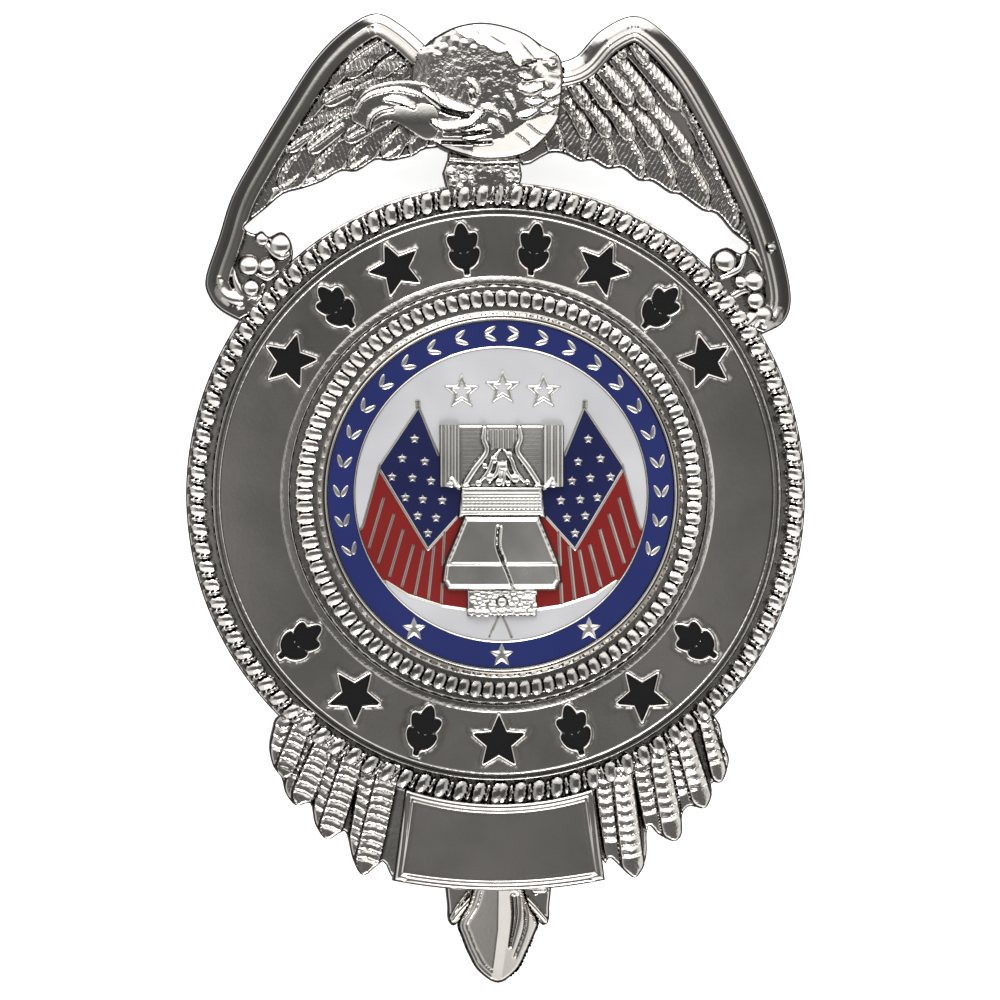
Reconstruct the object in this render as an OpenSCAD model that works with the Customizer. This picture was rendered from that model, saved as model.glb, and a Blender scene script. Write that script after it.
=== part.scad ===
// Round pinned badge: a rope-edged medallion under an eagle with spread wings,
// a blank number panel and a leaf tip below, an enamelled centre seal and a brooch pin behind.
// Lies face up: X to the right, Y towards the eagle, Z out of the face.

/* [Medallion] */
// Diameter over the rope border
rim_d = 61; // [60:0.5:62]
// Radius of the bend across the badge, so that it lies on the chest
bend_r = 150; // [140:5:200]
// Thickness of the plate under the flat band
plate_t = 1.6; // [1.4:0.1:1.8]
// Ribs of the rope border, and beads of the ring inside the band
rib_n = 100; // [80:4:110]

/* [Band marks] */
// Height of the sunk marks
mark_h = 5; // [4:0.25:5.25]
// Depth of the sunk marks
mark_depth = 0.5; // [0.3:0.1:0.7]
// Marks along the upper half of the band
upper_marks = 8; // [4:1:8]
// Marks along the lower half of the band
lower_marks = 7; // [3:1:7]

/* [Centre seal] */
// Diameter of the seal
seal_d = 34.7; // [34:0.1:34.8]
// Thickness of the enamel
enamel_t = 0.4; // [0.3:0.05:0.45]

/* [Brooch pin] */
// Depth of the pin below the back of the badge
pin_depth = 3.7; // [3.4:0.1:4.5]
// Diameter of the pin stem
stem_d = 1; // [0.8:0.1:1.2]
// Length of the pin over its hinge and its catch
pin_l = 31; // [26:1:34]

/* [Hidden] */
gap = 0.05;
ring_y = 0.4;
seal_x = 0.25;
rim_r = rim_d / 2;
bend_step = 2.9;
bend_n = 13;
slab_l = 100;
ring_fn = 72;
ball_fn = 8;
eps = 0.01;

// Radii of the medallion's rings, from the rim inwards
rope_r = rim_r - 1.05;
groove_r = rim_r - 2.15;
lip_r = rim_r - 2.6;
band_r = rim_r - 3.35;
inner_lip_r = 21.25;
bead_bed_r = 20.4;
bead_r = 19.2;
cove_r = 18.25;
seal_r = seal_d / 2;
seat_r = seal_r + 2 * gap;
blue_r = seal_r - 0.45;
white_r = 14.2;
mark_r = (band_r + inner_lip_r) / 2;

// Heights above the back surface
seat_h = 0.8;
groove_h = plate_t - 0.35;
lip_h = plate_t + 0.45;
rope_h = plate_t + 0.85;
bead_h = plate_t + 0.6;
seal_floor_h = seat_h + gap + 0.55;
enamel_h = seal_floor_h + gap + enamel_t;
wall_h = enamel_h + 0.05;
mark_enamel_h = plate_t - 0.12;
wing_h = 1.3;
border_h = 2.2;
ridge_foot = 0.6;
stem_h = plate_t + 0.2;
panel_h = plate_t + 0.7;
panel_frame_h = panel_h + 0.5;
top_h = 9;

// Smooth curve through a few points
function cubic(a, b, c, d, t) =
    0.5 * (2 * b + (c - a) * t + (2 * a - 5 * b + 4 * c - d) * t * t
    + (3 * b - a - 3 * c + d) * t * t * t);
function curve(p, n) = concat(
    [for (i = [0:len(p) - 2], k = [0:n - 1])
        cubic(p[max(i - 1, 0)], p[i], p[i + 1], p[min(i + 2, len(p) - 1)], k / n)],
    [p[len(p) - 1]]);
function reversed(p) = [for (i = [len(p) - 1:-1:0]) p[i]];
function mirrored(p) = [for (q = p) [-q.x, q.y]];
function polar(r, a) = [r * cos(a), r * sin(a)];
function arc(r, a0, a1, n, cy = 0) = [for (k = [0:n]) polar(r, a0 + (a1 - a0) * k / n) + [0, cy]];
function star(r, n = 5, inner = 0.42, turn = 90) =
    [for (k = [0:2 * n - 1]) polar(k % 2 == 0 ? r : r * inner, turn + 180 * k / n)];
function leaf_outline(l, w, n = 10) =
    [for (k = [0:n - 1]) let (a = 360 * k / n)
        [l / 2 * cos(a), w / 2 * sin(a) * (1 - 0.2 * cos(a))]];
function bend_a(x) = asin(x / bend_r);
function back_z(x) = pin_depth - bend_r + sqrt(pow(bend_r, 2) - pow(x, 2));

// Region between two heights above the bent back surface
module slab(h0, h1) {
    steps = [for (k = [0:bend_n]) (k - bend_n / 2) * bend_step];
    outer = [for (a = steps) (bend_r + h1) * [sin(a), cos(a)]];
    inner = [for (a = reversed(steps)) (bend_r + h0) * [sin(a), cos(a)]];
    translate([0, 0, pin_depth - bend_r * cos(bend_step / 2)])
        rotate([90, 0, 0])
            linear_extrude(height = slab_l, center = true)
                polygon(concat(outer, inner));
}

// A flat outline raised from one height to another along the bend
module layer(h0, h1) {
    intersection() {
        slab(h0, h1);
        linear_extrude(height = 3 * top_h, center = true) children();
    }
}

// Stands a small relief on the bent surface at [x, y]
module on_bend(p, turn = 0) {
    a = bend_a(p.x);
    translate([p.x, p.y, back_z(p.x)])
        rotate([0, a, 0])
            rotate([0, 0, turn])
                children();
}

// Closed round body on the bent surface, from the middle of its face over its rim to the middle
// of its back. Rows: radius, height at a crest, height at a valley, number of points. A row has as
// many points as its neighbour, half as many or one. In a row of 2 * rib_n, every second point is
// a valley. The rows of the seal's seat stand a little to the right.
function row_points(row) = let (n = row[3])
    [for (k = [0:n - 1])
        let (p = polar(row[0], 360 * k / n) + [row[0] > seat_r ? 0 : seal_x, ring_y],
            low = n > rib_n && k % 2 == 1)
            [p.x, p.y, back_z(p.x) + (low ? row[2] : row[1])]];
function row_start(rows, i) = i == 0 ? 0 : row_start(rows, i - 1) + rows[i - 1][3];
function band_faces(a, na, b, nb) =
    na == 1 ? [for (k = [0:nb - 1]) [a, b + (k + 1) % nb, b + k]]
    : nb == 1 ? [for (k = [0:na - 1]) [a + k, a + (k + 1) % na, b]]
    : na == nb ? [for (k = [0:na - 1]) each [
        [a + k, b + (k + 1) % nb, b + k],
        [a + k, a + (k + 1) % na, b + (k + 1) % nb]]]
    : nb > na ? [for (k = [0:na - 1]) each [
        [a + k, b + 2 * k + 1, b + 2 * k],
        [a + k, a + (k + 1) % na, b + 2 * k + 1],
        [a + (k + 1) % na, b + (2 * k + 2) % nb, b + 2 * k + 1]]]
    : [for (k = [0:nb - 1]) each [
        [b + k, a + 2 * k, a + 2 * k + 1],
        [b + k, a + 2 * k + 1, b + (k + 1) % nb],
        [b + (k + 1) % nb, a + 2 * k + 1, a + (2 * k + 2) % na]]];

module round_body(rows) {
    polyhedron(
        points = [for (row = rows) each row_points(row)],
        faces = [for (i = [0:len(rows) - 2])
            each band_faces(row_start(rows, i), rows[i][3], row_start(rows, i + 1), rows[i + 1][3])]);
}

module annulus(r1, r0) {
    difference() {
        circle(r1, $fn = ring_fn);
        circle(r0, $fn = ring_fn);
    }
}

// Rounded ridge along a line. Rows: x, y, half width, height of its crest
function ridge_side(rows, i) = let (
    way = [for (k = [0, 1]) rows[min(i + 1, len(rows) - 1)][k] - rows[max(i - 1, 0)][k]])
    [-way.y, way.x] / norm(way);
function ridge_section(rows, i) = let (row = rows[i], side = ridge_side(rows, i) * row[2])
    [for (q = [[-1, ridge_foot], [-1, row[3] - 0.5 * row[2]], [0, row[3]],
            [1, row[3] - 0.5 * row[2]], [1, ridge_foot]])
        let (p = [row[0], row[1]] + side * q[0])
            [p.x, p.y, back_z(p.x) + q[1]]];

module ridge(rows) {
    m = 5;
    last = (len(rows) - 1) * m;
    polyhedron(
        points = [for (i = [0:len(rows) - 1]) each ridge_section(rows, i)],
        faces = concat(
            [for (i = [0:len(rows) - 2], j = [0:m - 1]) let (a = i * m + j, b = i * m + (j + 1) % m) each
                [[a, b, b + m], [a, b + m, a + m]]],
            [[4, 3, 2, 1, 0], [for (j = [0:m - 1]) last + j]]));
}

module ball(p, r, h) {
    on_bend(p) translate([0, 0, h]) sphere(r, $fn = ball_fn);
}

// Ridged leaf or feather from its root to its tip, with upright sides up to h0 and a crest at h1
module leaf(root, tip, w, h0, h1) {
    foot = 0.4;
    crest = 0.72;
    crest_w = 0.12;
    way = tip - root;
    l = norm(way);
    on_bend((root + tip) / 2, atan2(way.y, way.x))
        hull() {
            translate([0, 0, h0 - foot])
                linear_extrude(height = foot)
                    polygon(leaf_outline(l, w, 6));
            translate([0, 0, h1])
                linear_extrude(height = eps)
                    scale([l * crest / 2, crest_w / 2])
                        polygon([[-1, 0], [1, 1], [1, -1]]);
        }
}

// Sunk marks of the band: stars and laurel sprigs, in mirrored order about the middle
upper_step = 16.4;
lower_step = 17.8;
mark_star_r = mark_h * 0.52;
mark_star_inner = 0.45;
function is_star(i, n, first) = (min(i, n - 1 - i) + first) % 2 == 0;
function mark_angle(i) = i < upper_marks
    ? 90 + ((upper_marks - 1) / 2 - i) * upper_step
    : 270 + (i - upper_marks - (lower_marks - 1) / 2) * lower_step;
function mark_is_star(i) = i < upper_marks
    ? is_star(i, upper_marks, 0)
    : is_star(i - upper_marks, lower_marks, 1);

// Laurel sprig: pairs of leaves and a tip leaf on a stem, inset by a clearance.
// Its lengths are shares of its height.
sprig_leaf_l = 0.4;
sprig_leaf_w = 0.24;
sprig_stem_w = 0.08;
sprig_stem_l = 0.7;
sprig_tip_y = 0.3;
sprig_pair_y = [-0.18, 0.12];
sprig_pair_x = 0.14;
sprig_spread = 40;

module sprig(h, inset) {
    leaf = leaf_outline(h * sprig_leaf_l - 2 * inset, h * sprig_leaf_w - 2 * inset, 4);
    stem_w = h * sprig_stem_w - 2 * inset;
    translate([-stem_w / 2, -h / 2 + inset]) square([stem_w, h * sprig_stem_l]);
    translate([0, h * sprig_tip_y]) rotate(90) polygon(leaf);
    for (y = sprig_pair_y, side = [-1, 1])
        translate([side * h * sprig_pair_x, h * y])
            rotate(90 - side * sprig_spread)
                polygon(leaf);
}

module mark_shape(i, inset = 0) {
    upright = i < upper_marks ? -90 : 90;
    translate([0, ring_y])
        rotate(mark_angle(i))
            translate([mark_r, 0])
                rotate(upright)
                    if (mark_is_star(i)) polygon(star(mark_star_r - 2 * inset, inner = mark_star_inner));
                    else sprig(mark_h, inset);
}

module mark_enamel(i) {
    color("black")
        layer(plate_t - mark_depth + gap, mark_enamel_h) mark_shape(i, gap);
}

// Medallion: seat of the seal, bead ring, lips, band and rope border
module medallion() {
    bevel = 0.2;
    cove = 0.1;
    rib_half_l = 0.5;
    rib_slope = 0.3;
    n = rib_n;
    difference() {
        round_body([
            [0, seat_h, 0, 1],
            [seat_r / 3, seat_h, 0, n / 2],
            [seat_r * 2 / 3, seat_h, 0, n / 2],
            [seat_r, seat_h, 0, n / 2],
            [seat_r, plate_t, 0, n / 2],
            [cove_r, plate_t - cove, 0, n],
            [bead_r, bead_h, plate_t, 2 * n],
            [bead_bed_r, plate_t - cove, 0, n],
            [bead_bed_r + bevel, lip_h, 0, n / 2],
            [inner_lip_r, lip_h, 0, n / 2],
            [inner_lip_r + bevel, plate_t, 0, n / 2],
            [band_r - bevel, plate_t, 0, n / 2],
            [band_r, lip_h, 0, n / 2],
            [lip_r, lip_h, 0, n],
            [groove_r, groove_h, 0, n],
            [rope_r - rib_half_l, rope_h, groove_h, 2 * n],
            [rope_r + rib_half_l, rope_h, groove_h, 2 * n],
            [rim_r, groove_h, groove_h - rib_slope, 2 * n],
            [rim_r, 0, 0, n],
            [rim_r * 2 / 3, 0, 0, n / 2],
            [rim_r / 3, 0, 0, n / 2],
            [0, 0, 0, 1]]);
        for (i = [0:upper_marks + lower_marks - 1])
            layer(plate_t - mark_depth, top_h) mark_shape(i);
    }
}

// Wing outlines: the leading edge from the head to the scroll, then the hem back to the neck
RIGHT_EDGE = [[5.4, 42.6], [7.6, 43.3], [10, 45.8], [13.4, 47.3], [16.4, 45.6], [19.6, 41.9],
    [22.6, 36.8], [25, 32.1], [27.1, 27.4], [28.5, 22.9], [29, 19.4], [28.2, 17.3], [26.2, 16.2]];
RIGHT_HEM = [[24, 17], [22, 20], [21, 22.6], [21.2, 24], [22.6, 24.7], [24, 24.1], [24.8, 24.9],
    [23.2, 26.2], [21.6, 28], [20.2, 28.3], [18, 29.8], [16.9, 30], [15.2, 31.1], [13.8, 31.2],
    [12.2, 32.4], [10.7, 32.3], [9.2, 33.1], [8, 33], [6.6, 33.7], [5, 33.8], [2.4, 32.6], [1, 35]];
LEFT_EDGE = [[-6.6, 43.7], [-9.3, 46.1], [-12, 47.4], [-15, 45.9], [-18, 42.9], [-21, 38.3],
    [-24, 33.3], [-26.1, 29.4], [-27.3, 25.6], [-28.6, 21.6], [-28.2, 19.7], [-27.1, 18.4], [-25.3, 17.4]];
LEFT_HEM = [[-23.5, 18.4], [-21.5, 21.5], [-20.1, 23.4], [-20.3, 25.2], [-21.2, 26.1], [-22.4, 25.6],
    [-23.1, 26.2], [-23.8, 25.9], [-24.8, 26.4], [-24.4, 27], [-22.7, 28.4], [-21, 29.8], [-19.2, 30.3],
    [-17.2, 31], [-15.4, 32], [-13.8, 32], [-12, 33.1], [-10.6, 33], [-8.3, 33.5], [-7, 34.2], [-3, 34.5]];

// Feathers of the wings. Rows: root x, root y, tip x, tip y, width, height
RIGHT_FEATHERS = [
    [6.6, 37, 7.9, 33.6, 2.2, 1.75], [8.4, 37, 10.5, 32.9, 2.3, 1.75], [10.8, 36.6, 13.6, 31.8, 2.4, 1.75],
    [13.4, 36, 16.7, 30.5, 2.5, 1.75], [16.2, 35, 20, 28.8, 2.6, 1.75], [19.4, 33.6, 23, 27, 2.7, 1.75],
    [6.6, 39.6, 8.7, 35.3, 2.1, 2.15], [8.2, 39.4, 10.7, 35.3, 2.1, 2.15], [10, 39.4, 13, 35.1, 2.2, 2.15],
    [12.2, 39.2, 15.8, 34.2, 2.3, 2.15], [14.8, 38.6, 18.9, 32.9, 2.4, 2.15],
    [17.2, 38.4, 21.5, 32.2, 2.4, 2.15],
    [6.4, 41.6, 8.8, 38, 1.9, 2.5], [7.8, 42.2, 11, 38.2, 2, 2.5], [9.4, 43.2, 13, 38.7, 2.1, 2.5],
    [11, 44.2, 15, 38.6, 2.2, 2.5], [13, 44.4, 17.6, 38.6, 2.2, 2.5]];
LEFT_FEATHERS = [
    [-6.8, 36.2, -8.4, 34, 2.2, 1.75], [-8, 36.4, -11, 33.6, 2.3, 1.75], [-10.4, 36.6, -14, 32.6, 2.4, 1.75],
    [-13.2, 36, -17.4, 31.7, 2.5, 1.75], [-16.4, 35, -21, 30.6, 2.6, 1.75],
    [-11.4, 38.6, -14.8, 35.2, 2.1, 2.15], [-14.2, 38, -18.3, 34.2, 2.3, 2.15],
    [-16.6, 37.6, -20.7, 34, 2.3, 2.15], [-18.8, 36.8, -22.6, 33, 2.3, 2.15],
    [-8, 42.6, -11, 40.2, 2, 2.5], [-9, 43.8, -13, 40.2, 2, 2.5], [-10.4, 44.6, -15, 40.2, 2.1, 2.5],
    [-12.4, 44.6, -17, 38.8, 2.2, 2.5]];

RIGHT_WING_MID = [14, 36];
LEFT_WING_MID = [-14, 36];
edge_roll = 0.7;
feather_sink = 0.2;

module wing(edge, hem, feathers, middle) {
    layer(0, wing_h) polygon(concat(curve(edge, 2), hem));
    ridge([for (q = edge) let (p = q + edge_roll * (middle - q) / norm(middle - q))
        [p.x, p.y, edge_roll, border_h]]);
    for (f = feathers) leaf([f[0], f[1]], [f[2], f[3]], f[4], wing_h - feather_sink, f[5]);
}

// Scroll at a wing's end. Rows: x, y, radius, height of the centre
LEFT_BALLS = [[-24.4, 22.6, 0.9, 1.7], [-22.7, 22.6, 0.8, 1.7], [-24.2, 20.7, 0.9, 1.7],
    [-21.2, 24.8, 1.1, 1.2], [-23.1, 25.6, 0.6, 1.2]];
RIGHT_BALLS = [[22.4, 23.4, 1.3, 1.2], [27.1, 24.7, 0.5, 2.1], [25.4, 21.3, 1, 1.7], [25.1, 19.4, 0.8, 1.7],
    [23.6, 21.4, 0.7, 1.6], [26.3, 18.2, 0.8, 1.7]];
// Curl under the balls. Rows: x, y, half width, height of its crest
LEFT_CURL = [[-27, 21.4, 0.6, 2.1], [-26.6, 19.9, 0.6, 2.2], [-25.3, 19, 0.6, 2.2], [-23.6, 19.6, 0.4, 2]];
RIGHT_CURL = [[27.5, 20, 0.6, 2.1], [27.4, 17.8, 0.6, 2.2], [25.8, 17, 0.6, 2.2], [24.6, 17.8, 0.5, 2]];

// Eagle's head, in profile towards the left wing
HEAD = [[-7.6, 43.9], [-5, 45.8], [-1.6, 46.5], [2, 45.7], [4.2, 44.3], [6.1, 42.8], [6, 38],
    [4.9, 35.6], [2.4, 33.5], [-1.5, 33], [-4.9, 33.8], [-6.6, 35], [-8.2, 38], [-8.4, 41.5]];
HEAD_MID = [-1.2, 39.8];
// Lines of the head. Rows: x, y, half width, height of the crest
BEAK = [[-5.2, 36.6, 1.9, 4], [-8.2, 37.2, 1.6, 3.6], [-10.8, 37.4, 0.9, 3.1], [-12.4, 36.2, 0.4, 2.3]];
BROW = [[-14, 37.7, 0.4, 2.3], [-12.2, 39.2, 0.6, 2.8], [-10, 39.6, 0.6, 3], [-8.1, 38.9, 0.6, 3]];
MOUTH = [[-7.4, 39.9, 0.4, 3.3], [-5.9, 38.8, 0.4, 3.9], [-4.4, 38.2, 0.4, 4.3], [-2.6, 37.9, 0.3, 4.5]];
COLLAR = [[-2.4, 33.7, 0.6, 2.6], [0.2, 34.1, 0.9, 3], [2.6, 35.1, 1, 3.1], [4.4, 36.8, 0.7, 2.8]];
head_rx = 6.2;
head_ry = 6.3;
head_dome = 3;
eye = [-3, 40.3];
eye_r = 0.7;
// Feathers of the head. Rows: distance of the root from the head's middle, length, width, angles
HEAD_FEATHERS = [[1.6, 2.4, 1.7, [-50, -20, 12, 42, 72]], [3.3, 2.2, 1.9, [-40, -12, 14, 40, 66, 92, 116]]];
head_feather_foot = -0.5;
head_feather_rise = 0.35;

function dome_h(r) = wing_h + head_dome * sqrt(1 - pow(r / head_rx, 2));

module head() {
    layer(0, plate_t) polygon(HEAD);
    on_bend(HEAD_MID)
        translate([0, 0, wing_h])
            scale([head_rx, head_ry, head_dome])
                sphere(1, $fn = 16);
    for (line = [BEAK, BROW, MOUTH, COLLAR]) ridge(line);
    ball(eye, eye_r, dome_h(norm(eye - HEAD_MID)));
    for (row = HEAD_FEATHERS, a = row[3]) {
        root = HEAD_MID + polar(row[0], a);
        tip = HEAD_MID + polar(row[0] + row[1], a);
        base_h = dome_h(row[0] + row[1] / 2);
        leaf(root, tip, row[2], base_h + head_feather_foot, base_h + head_feather_rise);
    }
}

// Knotted stem that joins the head to the medallion
STEM = [[-4.9, 34.5], [-5, 33.2], [-5.5, 31.8], [-5.1, 30.2], [-4.6, 28.8], [2, 28.8], [2.1, 30.6],
    [2.3, 31.6], [2, 33.4], [2, 34.5]];
STEM_KNOTS = [[-4.4, 31.7], [-2.6, 32.1], [-0.4, 32.4], [1.4, 31.5]];
knot_r = 0.55;

module stem() {
    layer(0, stem_h) polygon(STEM);
    for (q = STEM_KNOTS) ball(q, knot_r, stem_h);
}

// Feather sprays below the medallion: their outlines, and rows of root x, root y, tip x, tip y,
// width, height
LEFT_SPRAY_PLATE = [[-18, -20], [-21.4, -21.2], [-22.1, -22.6], [-22.4, -24.4], [-22, -26.2],
    [-21.2, -27.3], [-20.8, -28.8], [-19.8, -30], [-18.4, -29.8], [-17.9, -31.9], [-16.8, -33.3],
    [-15.4, -32.6], [-14.8, -32.9], [-14.2, -35.4], [-13.2, -36.8], [-11.3, -35.5], [-10.1, -36.8],
    [-8, -30], [-8.6, -26]];
RIGHT_SPRAY_PLATE = [[18, -20], [21.5, -21.6], [22.2, -24], [22.8, -25.6], [22.1, -27.7], [21.1, -28],
    [21.1, -29], [20.3, -30.4], [18.8, -30.2], [18.1, -31], [18, -33], [17.2, -33.6], [15.8, -33],
    [14.7, -32.1], [14.6, -35.1], [13.9, -36.6], [13.1, -37.1], [11, -35.2], [10.3, -35.5], [8, -30],
    [8.6, -26]];
LEFT_SPRAY = [
    [-20.6, -20.4, -21.9, -26.2, 2, 1.7], [-18.2, -22.4, -20.7, -29, 2.1, 1.7],
    [-15.8, -23.6, -17.9, -32.2, 2.2, 1.7], [-12.6, -25.4, -14.3, -35.6, 2.3, 1.7],
    [-19.2, -21.4, -21.2, -27.2, 2.3, 2.3], [-16.8, -23.2, -19.6, -29.9, 2.7, 2.3],
    [-14, -25, -16.8, -33.2, 3, 2.3], [-10.8, -26.6, -13.2, -36.7, 3.1, 2.3]];
RIGHT_SPRAY = [
    [20.8, -20.4, 22.5, -26.2, 1.9, 1.7], [17.8, -23.6, 18.6, -30.9, 2.1, 1.7],
    [14.2, -25.4, 15.3, -32.6, 2.4, 1.7], [10.4, -27, 11.6, -35.4, 2.4, 1.7],
    [20.2, -21.6, 22, -27.7, 2.2, 2.3], [18, -23.4, 20.3, -30.3, 2.6, 2.3],
    [15.8, -25, 17.3, -33.5, 2.7, 2.3], [12.2, -26.8, 13.2, -37, 3, 2.3]];
spray_h = 1.1;
spray_feather_h = 1.2;

module spray(outline, feathers) {
    layer(0, spray_h) polygon(outline);
    for (f = feathers) leaf([f[0], f[1]], [f[2], f[3]], f[4], spray_feather_h, f[5]);
}

// Blank number panel. It flares a little downwards, between the rope border and a flatter arc.
panel_top_w = 18.4;
panel_w = 20.8;
panel_bottom_y = -37.3;
panel_sag = 1;
panel_frame = 0.75;
panel_top_r = rim_r - 0.4;
panel_arc_n = 10;

function panel_outline(inset) = let (
    top_r = panel_top_r + inset,
    top_a = asin((panel_top_w / 2 - inset) / top_r),
    sag_r = (pow(panel_w / 2, 2) + pow(panel_sag, 2)) / (2 * panel_sag),
    sag_y = panel_bottom_y - panel_sag + sag_r + inset,
    low_a = asin((panel_w / 2 - inset) / sag_r))
    concat(
        arc(top_r, 270 - top_a, 270 + top_a, panel_arc_n, ring_y),
        arc(sag_r, 270 + low_a, 270 - low_a, panel_arc_n, sag_y));

module panel() {
    layer(0, panel_h) polygon(panel_outline(0));
    difference() {
        layer(plate_t, panel_frame_h) polygon(panel_outline(0));
        layer(0, top_h) polygon(panel_outline(panel_frame));
    }
}

// Leaf tip: a ridged middle leaf between two short ones
TIP_LEAF = [[-1.8, -37], [-3, -39.6], [-4, -41.5], [-3.6, -43], [-2.9, -44.7], [-1.9, -46.3], [0, -47.4],
    [1.9, -46.2], [2.9, -44.4], [3.6, -42.8], [4, -41.4], [2.9, -39.6], [1.8, -37]];
SIDE_LEAF = [[-1.6, -37], [-4.9, -37], [-5, -40], [-4.95, -41.2], [-4.5, -41.75], [-3.9, -41.4],
    [-2.2, -39.6]];
TIP_RIDGE = [[-0.2, -37.6], [-0.1, -42], [-0.5, -46]];
SIDE_RIDGE = [[-3.88, -39.84], [-3.35, -40.675]];
tip_eave_h = 1.2;
tip_ridge_h = 2.6;
side_ridge_h = 1.9;

module leaf_tip() {
    roof(SIDE_LEAF, SIDE_RIDGE, side_ridge_h);
    roof(mirrored(SIDE_LEAF), mirrored(SIDE_RIDGE), side_ridge_h);
    roof(TIP_LEAF, TIP_RIDGE, tip_ridge_h);
}

// Roof from an outline up to a few ridge points at a height, on upright sides up to the eave
module roof(outline, ridge, h) {
    foot = -1;
    hull() {
        for (q = outline)
            on_bend(q) translate([0, 0, foot]) cylinder(r = eps, h = tip_eave_h - foot, $fn = 3);
        for (q = ridge)
            on_bend(q) translate([0, 0, h]) cube(eps, center = true);
    }
}

module badge_body() {
    color("silver")
        intersection() {
            slab(0, top_h);
            union() {
                medallion();
                wing(RIGHT_EDGE, RIGHT_HEM, RIGHT_FEATHERS, RIGHT_WING_MID);
                wing(LEFT_EDGE, LEFT_HEM, LEFT_FEATHERS, LEFT_WING_MID);
                for (q = concat(LEFT_BALLS, RIGHT_BALLS)) ball([q[0], q[1]], q[2], q[3]);
                ridge(LEFT_CURL);
                ridge(RIGHT_CURL);
                head();
                stem();
                spray(LEFT_SPRAY_PLATE, LEFT_SPRAY);
                spray(RIGHT_SPRAY_PLATE, RIGHT_SPRAY);
                panel();
                leaf_tip();
            }
        }
}

// Centre seal: flags either side of a bell, three stars above and three on the blue ring.
// The outlines are measured from the middle of the seal.
FLAG = [[-8.1, 8.6], [-11.9, 2.9], [-13.5, -2.9], [-15, -6], [-11.6, -8.3], [-9.2, -9.8],
    [-5.8, -10.9], [-1, -11.6], [-1, -1], [-5, 1]];
CANTON = [[-8.1, 9], [-13, 3.6], [-11.9, 2.4], [-7.2, -5.4], [-3.6, -1.4], [-1, 0]];
BELL = [[-3.7, -2], [-5.7, -6.8], [-5.9, -8.4], [-5.3, -9.4], [5.3, -9.4], [5.9, -8.4], [5.7, -6.8],
    [3.7, -2]];
SHOULDER = [[-4.3, -2.3], [4.3, -2.3], [4, 0.8], [-4, 0.8]];
YOKE = [[-6.1, 0.7], [6.1, 0.7], [6.1, 6.8], [-6.1, 6.8]];
YOKE_MID = [[-4.5, 0.7], [4.5, 0.7], [4.5, 6.6], [-4.5, 6.6]];
YOKE_SIDE = [[-6.1, 0.7], [-4.5, 0.7], [-4.5, 6.8], [-6.1, 6.8]];
BASE = [[-3.4, -11.9], [3.4, -11.9], [3.4, -9.3], [-3.4, -9.3]];
BOLTS = [[-1.7, 1.9], [0, 2.4], [1.7, 1.9], [-0.9, 0.7], [0.9, 0.7]];
UPPER_STARS = [[-3.9, 10], [0.1, 10.4], [4.1, 10]];
white_low_y = -9.9;
white_high_y = -2.4;
ring_star_a = [237, 270, 303];
wreath_n = 11;
wreath_a = 20;
wreath_step = 10.6;
wreath_fork = 0.4;
wreath_lean = 28;
leaf_l = 1.35;
leaf_w = 0.55;
wall = 0.22;
star_r = 1.75;
ring_star_r = 1.2;
ring_star_inner = 0.45;
ring_mid_r = (blue_r + white_r + 2 * gap + wall) / 2;

module wreath_leaves(inset = 0) {
    for (side = [-1, 1], k = [0:wreath_n - 1], fork = [-1, 1])
        rotate(90 + side * (90 + wreath_a - k * wreath_step))
            translate([ring_mid_r + fork * wreath_fork, 0])
                rotate(-side * (90 - fork * wreath_lean))
                    polygon(leaf_outline(leaf_l + 2 * inset, leaf_w + 2 * inset, 8));
}

module ring_stars(inset = 0) {
    for (a = ring_star_a)
        rotate(a)
            translate([ring_mid_r, 0])
                rotate(-a)
                    polygon(star(ring_star_r + 2 * inset, inner = ring_star_inner));
}

module bell_outline() {
    for (shape = [BELL, SHOULDER, YOKE, BASE]) polygon(shape);
}

module flag_outline(side) {
    polygon(side == "left" ? FLAG : mirrored(FLAG));
}

module canton_outline(side) {
    polygon(side == "left" ? CANTON : mirrored(CANTON));
}

module flag_field(side) {
    difference() {
        intersection() {
            circle(white_r, $fn = ring_fn);
            flag_outline(side);
        }
        offset(delta = gap) bell_outline();
    }
}

module canton_field(side) {
    intersection() {
        flag_field(side);
        canton_outline(side);
    }
}

module stripes_field(side) {
    difference() {
        flag_field(side);
        offset(delta = wall) canton_outline(side);
    }
}

// White ground between two heights on the seal
module white_field(y0, y1) {
    difference() {
        intersection() {
            circle(white_r, $fn = ring_fn);
            translate([-white_r, y0]) square([2 * white_r, y1 - y0]);
        }
        offset(delta = gap) bell_outline();
        for (side = ["left", "right"]) offset(delta = wall) flag_outline(side);
        for (p = UPPER_STARS) translate(p) offset(delta = gap) polygon(star(star_r));
    }
}

module seal_layer(h0, h1) {
    layer(h0, h1) translate([seal_x, ring_y]) children();
}

// An outline on the seal, scaled down about its middle by an inset
function inset_outline(outline, inset) = let (
    low = [for (k = [0, 1]) min([for (q = outline) q[k]])],
    high = [for (k = [0, 1]) max([for (q = outline) q[k]])],
    mid = (low + high) / 2)
    [for (q = outline) [seal_x, ring_y] + mid
        + [for (k = [0, 1]) (q[k] - mid[k]) * (1 - 2 * inset / (high[k] - low[k]))]];

// Raised figure of the seal: an outline rising to a smaller one at a height
module figure(outline, inset, h) {
    foot_h = seal_floor_h - 0.3;
    foot_t = 0.5;
    translate([0, 0, pin_depth])
        hull() {
            translate([0, 0, foot_h])
                linear_extrude(height = foot_t)
                    polygon(inset_outline(outline, 2 * gap));
            translate([0, 0, h - 2 * gap])
                linear_extrude(height = 2 * gap)
                    polygon(inset_outline(outline, inset));
        }
}

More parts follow.
